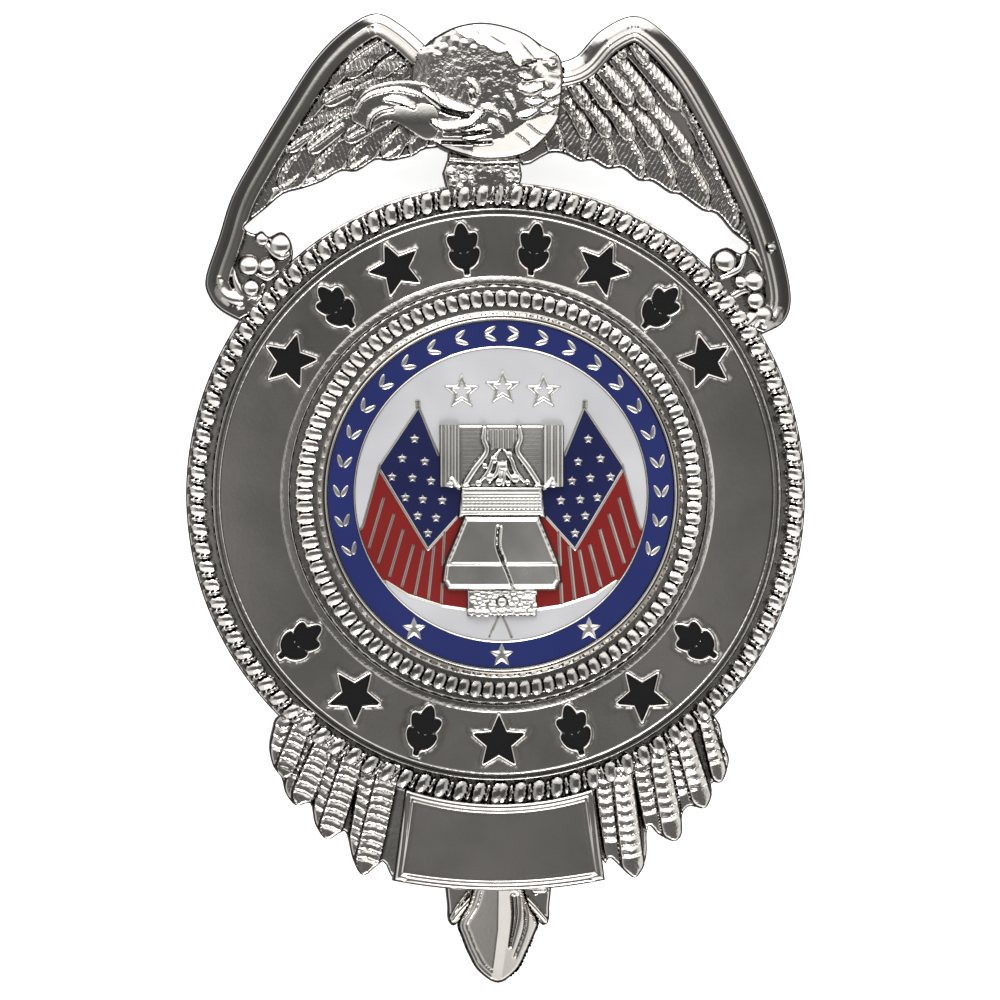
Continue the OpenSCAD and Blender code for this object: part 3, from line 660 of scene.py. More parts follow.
def rope_border():
    """Outer lips, groove and the radial ribs of the rim, which are shorter on the badge's flanks."""
    out, rise = np.array(OUTER_LIPS).T
    groove = np.arange(LIP_R + 0.22, RIM_R - 0.1, 0.105)
    radii = np.concatenate([BAND_R + out, groove, [RIM_R - 0.06, RIM_R]])
    rim = [GROOVE_H - 0.08, GROOVE_H - 0.3]
    heights = np.concatenate([PLATE_H + rise, np.full(len(groove), GROOVE_H), rim])

    def height(r, angle):
        base = np.interp(r, radii, heights)
        flank = np.cos(angle) ** 2
        out = (r - RIB_R - RIB_SHIFT * flank) / (RIB_HALF - RIB_SHORTER * flank)
        down = centred(angle + RIB_TURN * (r - RIB_R), RIBS) * r * np.where(np.cos(angle) < 0, 1, -1)
        tops = [pillow(base, (down - place) / half, out / share, ROPE_H - depth, *rest)
                for place, half, share, depth, *rest in RIB_PAIR]
        return np.max(tops, axis=0)

    ring_piece("rope_border", radii, RIBS * RIB_COLUMNS, height, fine=0.05)


def seal_shift(r):
    """The seal and its seat stand a little to the right of the rim's middle."""
    return np.interp(r, [SEAT_R, INNER_LIP_R], [SEAL[0], 0])


# Rows: distance out from the seat or radius, and height over the band
COVE = [[0, -0.05], [0.1, 0.02], [0.25, -0.08], [0.4, -0.18], [0.55, -0.2]]
INNER_LIP = [[20.3, -0.2], [20.4, -0.15], [20.47, 0.25], [20.53, 0.4], [20.59, 0.45], [21.2, 0.45],
             [21.24, 0.43], [21.27, 0.2], [21.3, 0], [21.45, -0.05]]
BEAD_HALF_LONG, BEAD_HALF_WIDE = 0.84, 0.57


def bead_ring():
    """Cove, beads and inner lip between the seal and the band."""
    cove, cove_h = np.array(COVE).T
    lip, lip_h = np.array(INNER_LIP).T
    beads = np.arange(18.2, 20.25, 0.1)
    radii = np.concatenate([SEAT_R + cove, beads, lip])
    heights = PLATE_H + np.concatenate([cove_h, np.full(len(beads), -0.2), lip_h])

    def height(r, angle):
        base = np.interp(r, radii, heights)
        across = centred(angle, BEADS) * r / BEAD_HALF_WIDE
        return pillow(base, across, (r - BEAD_R) / BEAD_HALF_LONG, BEAD_H, 0.17, 0.18, 0.1, 0.2)

    ring_piece("bead_ring", radii, BEADS * BEAD_COLUMNS, height, shift=seal_shift, fine=0.04)


def on_seal_middle(r):
    return np.full(len(r), SEAL[0])


def seal_seat():
    """Floor under the seal, down to the back of the badge."""
    radii = np.array([0.02, 4, 8, 12, 15, SEAT_R])
    ring_piece("seal_seat", radii, 144, lambda r, a: np.full(len(r), SEAT_H), shift=on_seal_middle)


# Sunk marks of the band: stars and laurel sprigs in mirrored order about the middle
UPPER_MARKS, LOWER_MARKS = 8, 7
UPPER_STEP, LOWER_STEP = 16.4, 17.8
# Reach of a mark from its middle, with the space in which its points are dense
MARK_REACH = 2.95


def mark_angle(i):
    if i < UPPER_MARKS:
        return 90 + ((UPPER_MARKS - 1) / 2 - i) * UPPER_STEP
    return 270 + (i - UPPER_MARKS - (LOWER_MARKS - 1) / 2) * LOWER_STEP


def is_star(i):
    if i < UPPER_MARKS:
        return min(i, UPPER_MARKS - 1 - i) % 2 == 0
    k = i - UPPER_MARKS
    return (min(k, LOWER_MARKS - 1 - k) + 1) % 2 == 0


def sprig_parts():
    """Outlines of a laurel sprig: stem, tip leaf and two pairs of side leaves."""
    leaf = leaf_outline(MARK_H * 0.4, MARK_H * 0.24, 16)
    stem = np.array([[-0.04, -0.5], [0.04, -0.5], [0.04, 0.2], [-0.04, 0.2]]) * MARK_H
    parts = [stem, turned(leaf, 90, (0, MARK_H * 0.3))]
    for level in (-0.18, 0.12):
        for side in (-1, 1):
            parts.append(turned(leaf, 90 - side * 40, (side * MARK_H * 0.14, MARK_H * level)))
    return parts


def marks(step):
    """Outlines of each mark, placed on the band."""
    made = []
    for i in range(UPPER_MARKS + LOWER_MARKS):
        parts = [star(MARK_H * 0.52, 0.45)] if is_star(i) else sprig_parts()
        a = mark_angle(i)
        upright = -90 if i < UPPER_MARKS else 90
        middle = polar(MARK_R, a) + [0, RING_Y]
        made.append([resampled(turned(p, upright + a, middle), step) for p in parts])
    return made


def band():
    """Flat polished band with the beds of its marks, each with a rounded edge."""
    low_r, high_r = INNER_LIP_R + 0.1, BAND_R
    loops = [polar(np.full(360, r), np.arange(360)) + [0, RING_Y] for r in (high_r, low_r)]
    beds = marks(0.2)
    centres = polar(MARK_R, np.array([mark_angle(i) for i in range(len(beds))])) + [0, RING_Y]

    def radius(p):
        return np.hypot(p[:, 0], p[:, 1] - RING_Y)

    def away(p, centre):
        return np.hypot(*(p - centre).T)

    coarse = lattice([-RIM_R, -RIM_R], [RIM_R, RIM_R + 1], 0.7)
    far = np.min([away(coarse, c) for c in centres], axis=0) > MARK_REACH + 0.15
    r = radius(coarse)
    groups = [coarse[(r < high_r - 0.4) & (r > low_r + 0.4) & far]]
    for centre, bed in zip(centres, beds):
        for step, low, high in ((0.12, 0, 0.42), (0.36, 0.5, 9)):
            points = lattice(centre - 3, centre + 3, step)
            points = points[away(points, centre) < MARK_REACH]
            gap = np.abs(depth_in(points, bed) - 0.05)
            groups.append(points[(gap >= low) & (gap < high)])

    def height(p):
        h = np.full(len(p), PLATE_H)
        for centre, bed in zip(centres, beds):
            near = np.flatnonzero(away(p, centre) < MARK_REACH + 0.35)
            d = joined_depth(p[near], bed)
            h[near] += 0.07 * hump(d, -0.22, 0.12) - MARK_DEPTH * smooth_step((d + 0.1) / 0.32)
        return h

    solid("band", loops, np.vstack(groups), lambda p: (radius(p) < high_r) & (radius(p) > low_r), height)


def mark_enamels():
    """Black enamel in the beds of the marks, a little below the band."""
    for i, loops in enumerate(marks(0.25)):
        points = lattice_over(loops, 0.3)
        points = points[depth_in(points, loops) > 0.15]
        name = f"mark_enamel_{i + 1}"
        solid(name, loops, points, lambda p: within_any(p, loops),
              lambda p: np.full(len(p), PLATE_H - MARK_DEPTH / 2), PLATE_H - MARK_DEPTH + 0.02,
              (name, "black_enamel"))


# Eagle. Outlines run from the head along the leading edge, then back along the hem.
RIGHT_EDGE = [[5.4, 42.6], [7.6, 43.3], [10, 45.8], [13.4, 47.3], [16.4, 45.6], [19.6, 41.9], [22.6, 36.8],
              [25, 32.1], [27.1, 27.4], [28.5, 22.9], [29, 19.4], [28.2, 17.3], [26.2, 16.2]]
RIGHT_HEM = [[24, 17], [22, 20], [21, 22.6], [21.2, 24], [22.6, 24.7], [24, 24.1], [24.8, 24.9],
             [23.2, 26.2], [21.6, 28], [20.2, 28.3], [18, 29.8], [16.9, 30], [15.2, 31.1], [13.8, 31.2],
             [12.2, 32.4], [10.7, 32.3], [9.2, 33.1], [8, 33], [6.6, 33.7], [5, 33.8], [2.4, 32.6], [1, 35]]
LEFT_EDGE = [[-6.6, 43.7], [-9.3, 46.1], [-12, 47.4], [-15, 45.9], [-18, 42.9], [-21, 38.3], [-24, 33.3],
             [-26.1, 29.4], [-27.3, 25.6], [-28.6, 21.6], [-28.2, 19.7], [-27.1, 18.4], [-25.3, 17.4]]
LEFT_HEM = [[-23.5, 18.4], [-21.5, 21.5], [-20.1, 23.4], [-20.3, 25.2], [-21.2, 26.1], [-22.4, 25.6],
            [-23.1, 26.2], [-23.8, 25.9], [-24.8, 26.4], [-24.4, 27], [-22.7, 28.4], [-21, 29.8],
            [-19.2, 30.3], [-17.2, 31], [-15.4, 32], [-13.8, 32], [-12, 33.1], [-10.6, 33], [-8.3, 33.5],
            [-7, 34.2], [-3, 34.5]]
HEAD = [[-7.6, 43.9], [-5, 45.8], [-1.6, 46.5], [2, 45.7], [4.2, 44.3], [6.1, 42.8], [6, 38], [4.9, 35.6],
        [2.4, 33.5], [-1.5, 33], [-4.9, 33.8], [-6.6, 35], [-8.2, 38], [-8.4, 41.5]]
STEM = [[-4.9, 34.5], [-5, 33.2], [-5.5, 31.8], [-5.1, 30.2], [-4.6, 28.8], [2, 28.8], [2.1, 30.6],
        [2.3, 31.6], [2, 33.4], [2, 34.5]]

# Feathers. Rows: root x, root y, tip x, tip y, width, height at the tip
RIGHT_HEM_FEATHERS = [[21.8, 34, 24.9, 25.3, 2.2, 1.6], [19.2, 34.6, 23.3, 26.3, 2.7, 1.65],
                      [16.4, 35.6, 20.3, 28.2, 2.8, 1.65], [13.6, 36.4, 16.9, 29.9, 2.7, 1.65],
                      [11, 37, 13.9, 31.1, 2.6, 1.65], [8.6, 37.4, 10.8, 32.2, 2.5, 1.65],
                      [6.4, 37.6, 8.1, 32.9, 2.3, 1.65], [4.6, 37.6, 5.8, 33.4, 2, 1.65]]
RIGHT_SECOND = [[16.6, 42.8, 21.6, 32.3, 1.6, 2.05], [18.2, 38.8, 21.4, 32.5, 1.5, 2.1],
                [14.6, 38.8, 19, 32.9, 1.9, 2.1], [12.4, 39, 15.9, 34.1, 1.9, 2.1],
                [10.2, 39.2, 13.2, 35, 1.8, 2.1], [8.2, 39, 10.9, 35.3, 1.7, 2.1],
                [6.6, 39, 8.8, 35.1, 1.6, 2.1]]
RIGHT_FIRST = [[13, 43.8, 17.9, 38.2, 1.9, 2.45], [10.6, 44.2, 15.1, 38, 1.9, 2.45],
               [9, 43.2, 13.1, 38.5, 1.8, 2.45], [7.6, 42.2, 11, 38, 1.6, 2.45],
               [6.2, 41.7, 8.8, 38, 1.5, 2.45], [12.6, 45.2, 14.6, 42.4, 1.4, 2.5],
               [11, 45, 12.4, 43, 1.3, 2.5]]
LEFT_HEM_FEATHERS = [[-20, 35.4, -25.2, 26.6, 2.8, 1.6], [-17, 35.8, -21.2, 29.9, 2.7, 1.65],
                     [-14, 36, -17.6, 30.9, 2.7, 1.65], [-11.2, 36.2, -14.4, 31.9, 2.5, 1.65],
                     [-9, 36, -11.2, 33, 2.3, 1.65], [-7, 36, -8.5, 33.5, 2, 1.65]]
LEFT_SECOND = [[-18, 38.8, -23, 32.6, 1.9, 2.05], [-15.4, 38.6, -20.9, 33.9, 1.9, 2.1],
               [-13.3, 37.8, -18.7, 33.8, 1.8, 2.1], [-10.6, 37.4, -15.1, 34.9, 1.8, 2.1]]
LEFT_FIRST = [[-15, 41.6, -19.6, 36.6, 1.8, 2.3], [-12, 41.2, -17.2, 38.5, 1.8, 2.35],
              [-9, 41.6, -14.4, 39.1, 1.7, 2.4], [-12, 45.4, -17, 40.2, 1.9, 2.4],
              [-10, 44.9, -15, 41.1, 1.8, 2.45], [-8.2, 43.8, -12.2, 41.1, 1.7, 2.5]]

# Scroll balls at the wings' ends. Rows: x, y, radius, height of the centre
LEFT_BALLS = [[-24.4, 22.8, 1.05, 1.6], [-22.6, 22.7, 0.9, 1.6], [-24.2, 20.6, 0.85, 1.75],
              [-21.3, 24.9, 1.15, 1.2], [-23.1, 25.4, 0.7, 1.3]]
RIGHT_BALLS = [[22.4, 23.4, 1.2, 1.1], [27, 24.7, 0.5, 1.9], [25.3, 21.4, 1.05, 1.6],
               [25.4, 19.5, 0.95, 1.7], [23.9, 21.3, 0.65, 1.7], [26.2, 18.1, 0.95, 1.7]]
# Curls round the balls. Rows: x, y, half width, height of the crest
LEFT_CURLS = [
    [[-27.3, 21.6, 0.25, 2.1], [-27, 20.1, 0.55, 2.3], [-25.9, 19.4, 0.6, 2.4], [-25, 19.3, 0.4, 2.2]],
    [[-26.6, 18.8, 0.3, 1.9], [-25.4, 18.3, 0.45, 2.1], [-24.2, 18.7, 0.45, 2.1], [-23.2, 19.6, 0.3, 2]],
    [[-22.9, 25.2, 0.25, 1.8], [-22.2, 24.2, 0.4, 2], [-21.3, 23.6, 0.45, 2.1], [-20.6, 23.8, 0.3, 1.9]],
    [[-25.9, 22.4, 0.2, 1.9], [-25.6, 21, 0.4, 2.1], [-24.9, 19.9, 0.4, 2.1], [-23.6, 19.8, 0.35, 2],
     [-23, 20.8, 0.3, 1.95]],
    [[-23.6, 21.9, 0.2, 1.9], [-22.6, 21.5, 0.35, 2], [-21.6, 22.1, 0.25, 1.9]]]
RIGHT_CURLS = [
    [[27.9, 19.3, 0.3, 2], [27.6, 17.8, 0.5, 2.2], [26.5, 17.1, 0.55, 2.2], [25.1, 17.2, 0.35, 2]],
    [[22, 21.7, 0.25, 1.8], [23, 22.1, 0.4, 2], [23.9, 22.7, 0.35, 2], [24.3, 24, 0.3, 1.8]],
    [[23.2, 19.9, 0.4, 1.9], [24.2, 20.4, 0.45, 2], [25.4, 20.3, 0.3, 1.9]],
    [[24.4, 24.6, 0.2, 1.8], [25.4, 24, 0.4, 2], [26, 22.8, 0.35, 2], [26.5, 21.8, 0.25, 1.9]]]

# Beak, over the head's left side and the wing
BEAK = [[-6.4, 38.3], [-8.2, 38.5], [-10.4, 38.1], [-11.8, 37.7], [-12.6, 36.9], [-12.7, 35.9], [-12, 36.3],
        [-10.8, 36.8], [-9.6, 36.4], [-8.4, 35.6], [-7.2, 34.9], [-6.2, 35.2], [-5.9, 36.8]]
# Smooth ground of the brow, left of the head
MASK = [[-14.4, 37], [-13.9, 38.9], [-12.4, 40.2], [-10, 40.7], [-7.4, 40.5], [-6.2, 39.4], [-5.8, 37.6],
        [-8, 37], [-11, 37], [-12.6, 35.7], [-13.2, 36.2]]
# Lines of the head. Rows: x, y, half width, rise
BROW = [[-14.1, 37.5, 0.1, 0.05], [-13.4, 38.8, 0.15, 0.09], [-12, 39.6, 0.19, 0.12],
        [-10, 39.9, 0.2, 0.13], [-8.5, 39.6, 0.2, 0.12], [-7.6, 39.3, 0.12, 0.07]]
BROW_PATCH = [[-11.2, 38.9, 0.15, 0.1], [-9.9, 38.9, 0.4, 0.28], [-8.4, 38.2, 0.28, 0.2]]
HOOK = [[-12.7, 35.9, 0.2, 0.15], [-12.5, 37.1, 0.32, 0.24], [-11.6, 37.8, 0.32, 0.24],
        [-10.4, 37.9, 0.2, 0.12]]
GAPE = [[-7.4, 39.8, 0.3, 0.3], [-6.3, 39.1, 0.42, 0.45], [-5.2, 38.4, 0.5, 0.45], [-4, 38, 0.42, 0.4],
        [-2.8, 37.8, 0.25, 0.25]]
JAW = [[-6.5, 36.7, 0.25, 0.2], [-5.6, 36.3, 0.45, 0.35], [-4.4, 36.3, 0.5, 0.4], [-3, 36.7, 0.5, 0.4],
       [-1.9, 37.6, 0.35, 0.25]]
JAW_STRIPS = [
    [[-3.9, 35.9, 0.15, 0.15], [-2.6, 35.9, 0.28, 0.22], [-1.4, 36.2, 0.2, 0.15]],
    [[-3.6, 35.1, 0.15, 0.15], [-2.6, 35.1, 0.28, 0.22], [-1.5, 35.4, 0.2, 0.15]]]
CRESCENTS = [
    [[-1.9, 37.9, 0.2, 0.15], [-1.1, 38.1, 0.3, 0.25], [-0.2, 37.5, 0.2, 0.15]],
    [[-0.1, 37.6, 0.15, 0.15], [0.5, 37.5, 0.25, 0.22], [1, 36.9, 0.15, 0.12]],
    [[-1, 36.7, 0.2, 0.15], [-0.4, 36.5, 0.3, 0.25], [0.2, 35.8, 0.2, 0.15]],
    [[0.6, 39.3, 0.2, 0.15], [1.1, 38.8, 0.3, 0.22], [1.4, 38.1, 0.15, 0.12]],
    [[-3.1, 40.7, 0.2, 0.18], [-2.5, 40.3, 0.32, 0.28], [-2.1, 39.5, 0.2, 0.18]]]
NAPE = [
    [[2.3, 42.4, 0.2, 0.2], [3.6, 42.3, 0.38, 0.35], [5.3, 42.5, 0.2, 0.2]],
    [[1.9, 41.3, 0.2, 0.2], [2.5, 41.1, 0.38, 0.32], [3.2, 41, 0.2, 0.18]],
    [[3.7, 41, 0.25, 0.2], [4.8, 41.1, 0.42, 0.35], [6, 41.5, 0.25, 0.25]],
    [[1.9, 40, 0.25, 0.2], [3.1, 39.9, 0.45, 0.35], [4.3, 40.3, 0.22, 0.2]],
    [[4.2, 39.3, 0.25, 0.2], [5, 39.4, 0.4, 0.32], [6, 39.8, 0.25, 0.22]],
    [[4.9, 40.3, 0.2, 0.18], [5.4, 40.3, 0.32, 0.28], [6, 40.6, 0.2, 0.2]],
    [[5, 38.4, 0.2, 0.18], [5.4, 38.5, 0.3, 0.26], [5.9, 38.8, 0.2, 0.18]],
    [[2.6, 38.7, 0.2, 0.18], [3.4, 38.6, 0.38, 0.32], [4.2, 38.8, 0.22, 0.2]],
    [[4.2, 37.8, 0.2, 0.15], [4.8, 37.9, 0.32, 0.28], [5.4, 38.2, 0.2, 0.15]],
    [[1.8, 37.3, 0.2, 0.15], [2.6, 37.4, 0.32, 0.28], [3.5, 37.8, 0.2, 0.15]]]
# Smooth collar of feathers under the cheek, cut by two fine lines
COLLAR = [[-2.8, 33.3], [-2.4, 32.4], [2, 32.4], [5, 34.2], [6.2, 37.2], [4.6, 37.4], [3.9, 37.2],
          [2.5, 36.7], [1.5, 36], [0.2, 35.1], [-1.2, 34.6], [-2.6, 34.4]]
# Grooves. Rows: x, y, half width, change of height
HEAD_CUTS = [
    [[-7.8, 39.2, 0.15, -0.3], [-6.2, 38.3, 0.22, -0.45], [-4.9, 37.6, 0.22, -0.45],
     [-3.2, 37.2, 0.15, -0.35]],
    [[-5.4, 35.5, 0.15, -0.25], [-3, 35.5, 0.16, -0.3], [-1, 35.7, 0.12, -0.25]],
    [[-5.6, 34.7, 0.15, -0.3], [-3, 34.6, 0.16, -0.35], [-0.9, 34.7, 0.15, -0.3]],
    [[-2.7, 39.4, 0.3, -0.4], [-2.6, 39, 0.3, -0.4]],
    [[1.6, 35.6, 0.08, -0.15], [2.8, 34.7, 0.08, -0.15], [3.2, 34, 0.08, -0.1]],
    [[2.7, 36.5, 0.08, -0.15], [3.9, 35.6, 0.08, -0.15], [4.6, 35.4, 0.08, -0.1]]]
CROWN_CUTS = [
    [[-2.5, 46, 0.1, -0.05], [-2.2, 45.4, 0.1, -0.07], [-1.8, 44.8, 0.1, -0.05]],
    [[-1.2, 45.1, 0.09, -0.03], [-0.4, 44.6, 0.1, -0.08], [0.6, 44, 0.1, -0.05]],
    [[1.7, 44.7, 0.09, -0.03], [2.6, 43.6, 0.1, -0.08], [3.3, 42.8, 0.1, -0.05]],
    [[3.1, 45.1, 0.09, -0.05], [3.8, 44.3, 0.1, -0.07], [4.4, 43.5, 0.1, -0.05]]]
CROWN = [[-4.7, 45.9], [-4, 45.3], [-3.4, 44.9], [-2.7, 44.8], [-2.1, 44.2], [-1.5, 44.1], [-1, 43.6],
         [-0.2, 43.3], [0.7, 43.5], [1, 43.1], [1.4, 42.3], [1.9, 42], [2.8, 42.4], [4, 42.7], [5.4, 43.1],
         [6.4, 43.6], [4, 46.6], [-1.6, 48], [-5.4, 47]]
# Scales along the brow's edge of the crown. Rows: x, y, radius
SCALLOPS = [[-5.2, 45.1, 0.5], [-4.5, 44.5, 0.55], [-3.6, 44.3, 0.45], [-6.2, 44.2, 0.45],
            [-5.5, 43.9, 0.5], [-4.6, 43.6, 0.45], [-6.9, 43.5, 0.4], [-6, 43.1, 0.45], [-2.6, 43.8, 0.4]]
# Knots of the stem. Rows: x, y, radius
KNOTS = [[-4.6, 31.9, 0.6], [-3.7, 32.3, 0.55], [-2.8, 32.2, 0.5], [-1.9, 32.4, 0.5], [-1, 32.3, 0.45],
         [-0.2, 32.4, 0.5], [0.7, 32.3, 0.55], [1.6, 32.2, 0.5], [-4.4, 30.9, 0.5], [-3.5, 31.3, 0.45],
         [-2.7, 31.2, 0.35], [1.8, 31.3, 0.5], [1, 31.4, 0.4], [-3.8, 30.4, 0.4], [1.7, 30.4, 0.4]]

# Sections of the wings' leading bands. Rows: distance from the edge, height, and drop where
# the edge faces the way in which the arch is bright
LEFT_BAND = [[0.25, 2.03, 0.3], [0.6, 2.03, 0.14], [0.95, 2.03, 0.03], [1.05, 2.01, 0], [1.14, 1.96, 0],
             [1.24, 2, 0.12], [1.55, 2.05, 0.08], [1.9, 2.06, 0.02], [2.2, 2.05, 0], [2.32, 1.95, 0],
             [2.45, 1.65, 0]]
RIGHT_BAND = [[0.25, 2.03, 0.3], [0.6, 2.03, 0.15], [0.95, 2.03, 0.05], [1.25, 2.02, 0], [1.36, 1.95, 0],
              [1.48, 1.99, 0.02], [1.68, 2.07, 0.01], [1.82, 2.03, 0], [1.93, 1.95, 0], [2.05, 1.98, 0],
              [2.2, 2, 0], [2.32, 1.96, 0], [2.42, 1.91, 0], [2.55, 1.92, 0], [2.7, 1.65, 0]]
LEFT_FACING, RIGHT_FACING = (0.35, 0.94), (-0.1, 1)


def leading_band(relief, edge, section, facing):
    """Rolls along a wing's leading edge, flat but for the arch, with painted shade on the band but not on the
    arch that faces the light.
    """
    line = curve(edge, 6)
    normal = side_of(line) * (1 if edge[0][0] > 0 else -1)
    d, row = nearest(relief.p, np.hstack([line, normal @ np.array(facing)[:, None]]))
    d = np.abs(d)
    out, rise, drop = np.array(section).T
    lit_arch = smooth_step((row[:, 2] - 0.6) / 0.3)
    on = d < out[-1]
    relief.h = np.where(on, np.interp(d, out, rise) - lit_arch * np.interp(d, out, drop), relief.h)
    relief.fine[on] = 0
    # Painted shade and light: the band is darkened, most near its edge, but not on the arch facing the light
    relief.fine[on, 3] = ((1 - lit_arch) * (0.45 + 0.5 * smooth_step((1.3 - d) / 0.2)))[on]


# Waves of a strip's ragged side. Rows: size, turn for each millimetre, turn for each seed
RAGGED = ((0.07, 4.3, 2.3), (0.05, 9.1, 1.7))
# Share of a vane's strip rise from its outer edge inwards
STRIP_AT, STRIP = [0, 0.15, 0.85, 1.15], [0, 0.12, 1, 0]


def vane(relief, row, low, outer, strip, barb, seed, tip_fall):
    """Wing feather: a flat vane, and a ragged strip along its outer side that slopes outwards.
    Strip: share of the width and rise. Barb: pitch and slant of its fine grooves, and their rise on
    the strip and on the vane."""
    near, s, left, t, half, edge = relief.feather(row, outer, 0.12, 0.8, 0.7)
    share = np.clip(s / (s + left), 0, 1)
    pitch, slant, strip_barb, vane_barb = barb
    a = math.radians(slant)
    turns = (s * math.cos(a) + t * math.sin(a)) / pitch
    ragged = sum(size * np.sin(along * s + shift * seed) for size, along, shift in RAGGED)
    u = (half - t + ragged) / (strip[0] * row[4])
    fade = smooth_step(share * 5) * smooth_step(left / 0.5)
    h = low + (row[5] - low) * share + strip[1] * np.interp(u, STRIP_AT, STRIP) * fade
    h -= 2 * tip_fall * smooth_step((2 - left) / 2) + 0.15 * hump(edge, 0, 0.12)
    rise = np.where(u < 1.1, strip_barb, vane_barb) * smooth_step((edge - 0.1) / 0.15)
    fine = np.stack([turns, rise, np.zeros(len(near)), np.full(len(near), 0.5)], axis=1)
    on = (edge > 0) & (s > -0.2) & (left > 0)
    relief.h[near] = np.where(on, h, relief.h[near])
    relief.fine[near] = np.where(on[:, None], fine, relief.fine[near])


def hatch(relief, line):
    """Row of fine upright strokes along a line."""
    pitch, rise, lean, reach = 0.45, 0.035, 0.25, 0.5
    path = curve(line, 6)
    near = relief.around(path, reach)
    near = near[np.abs(nearest(relief.p[near], path)[0]) < reach]
    x, y = relief.p[near].T
    relief.fine[near, 0] = (x + lean * y) / pitch
    relief.fine[near, 1] = rise


# A wing's rows of feathers, the hem's first and the shoulder's last. Rows: height at the roots, barb,
# first seed, fall at the tips
FEATHER_ROWS = ((1.35, (0.42, 35, 0.02, 0.01), 0, 0.12), (1.55, (0.46, 40, 0.026, 0.008), 3, 0),
                (1.75, (0.48, 40, 0.026, 0.008), 7, 0))
HEM_STRIP, RIGHT_STRIP, LEFT_STRIP = (0.25, 0.1), (0.5, 0.26), (0.22, 0.07)


def wing_feathers(relief, rows, outer, strip):
    for feathers, (low, barb, seed, fall) in zip(rows, FEATHER_ROWS):
        for k, row in enumerate(feathers):
            vane(relief, row, low, outer, HEM_STRIP if feathers is rows[0] else strip, barb, seed + k, fall)


# Rows of fine upright strokes over the left wing's upper feathers
LEFT_HATCHES = [
    [[-15, 43.2], [-12, 43.9], [-9, 43.6]],
    [[-16.5, 41.6], [-13, 42.4], [-9.5, 42]],
    [[-17.5, 39.2], [-14, 40.4], [-10.5, 40.6]],
    [[-18.6, 36.6], [-15.6, 37.6], [-12.6, 37.8]]]
# Bright quills of the left wing. Rows: x, y, half width, rise
LEFT_QUILLS = [
    [[-16.9, 38.7, 0.1, 0.1], [-15.6, 39.5, 0.18, 0.2], [-14.2, 40, 0.1, 0.1]],
    [[-20.6, 34.1, 0.1, 0.1], [-19.4, 35, 0.18, 0.2], [-18.2, 35.7, 0.1, 0.1]],
    [[-18.6, 34, 0.1, 0.1], [-17, 35.3, 0.2, 0.22], [-15.2, 36.6, 0.1, 0.1]],
    [[-14.7, 35.2, 0.1, 0.1], [-13.1, 36.1, 0.2, 0.22], [-11.3, 36.7, 0.1, 0.1]],
    [[-18.8, 31, 0.1, 0.08], [-17.4, 31.4, 0.22, 0.2], [-16.2, 32.2, 0.1, 0.08]],
    [[-15, 32, 0.1, 0.08], [-14, 32.5, 0.22, 0.2], [-12.8, 33.4, 0.1, 0.08]],
    [[-22, 30.2, 0.1, 0.08], [-20.6, 30.7, 0.22, 0.2], [-19.6, 31.6, 0.1, 0.08]],
    [[-11.6, 33.2, 0.1, 0.08], [-10.6, 33.6, 0.2, 0.18], [-9.6, 34.4, 0.1, 0.08]]]
# Middle of the cheek
FACE = np.array([-2.8, 40.5])


def face_pebbles(relief):
    """Small overlapping scales over the cheek."""
    rng = np.random.default_rng(7)
    for x, y in lattice((-7.2, 38.3), (1.4, 42.6), 0.6):
        jx, jy, rise, r = rng.uniform((-0.2, -0.2, 0, 0.3), (0.2, 0.2, 0.045, 0.5))
        if np.hypot(x - FACE[0], (y - FACE[1]) * 1.9) < 4.2 and y > 38.3 - (x - FACE[0]) * 0.2:
            relief.scale(x + jx, y + jy, r, rise)


# Height of the head by the distance in from its outline: where it is smooth, and over the cheek
HEAD_OUT = [0, 0.06, 0.14, 0.3, 0.6, 1, 2, 3, 4, 7]
SLOPED_H = [1.6, 2.4, 2.8, 2.98, 3.12, 3.28, 3.63, 3.96, 4.2, 4.3]
LEVEL_H = [1.6, 2.5, 2.95, 3.15, 3.26, 3.32, 3.42, 3.5, 3.56, 3.62]


def head_base(p, d, crown, collar):
    """Height of the head without its lines, at a distance in from its outline."""
    open_side = smooth_step((-5.2 - p[:, 0]) / 1.6) * smooth_step((p[:, 1] - 34.4) / 1.2)
    open_side *= smooth_step((44.4 - p[:, 1]) / 1.2)
    level = np.interp(d + 3 * open_side, HEAD_OUT, LEVEL_H) - 0.23 * np.clip(-3.2 - p[:, 0], 0, None)
    base = np.where(crown, np.interp(d, HEAD_OUT, SLOPED_H), level)
    return np.where(collar, 3.1 + 0.3 * (p[:, 1] - 34) - 0.5 * np.exp(-d / 0.12), base)


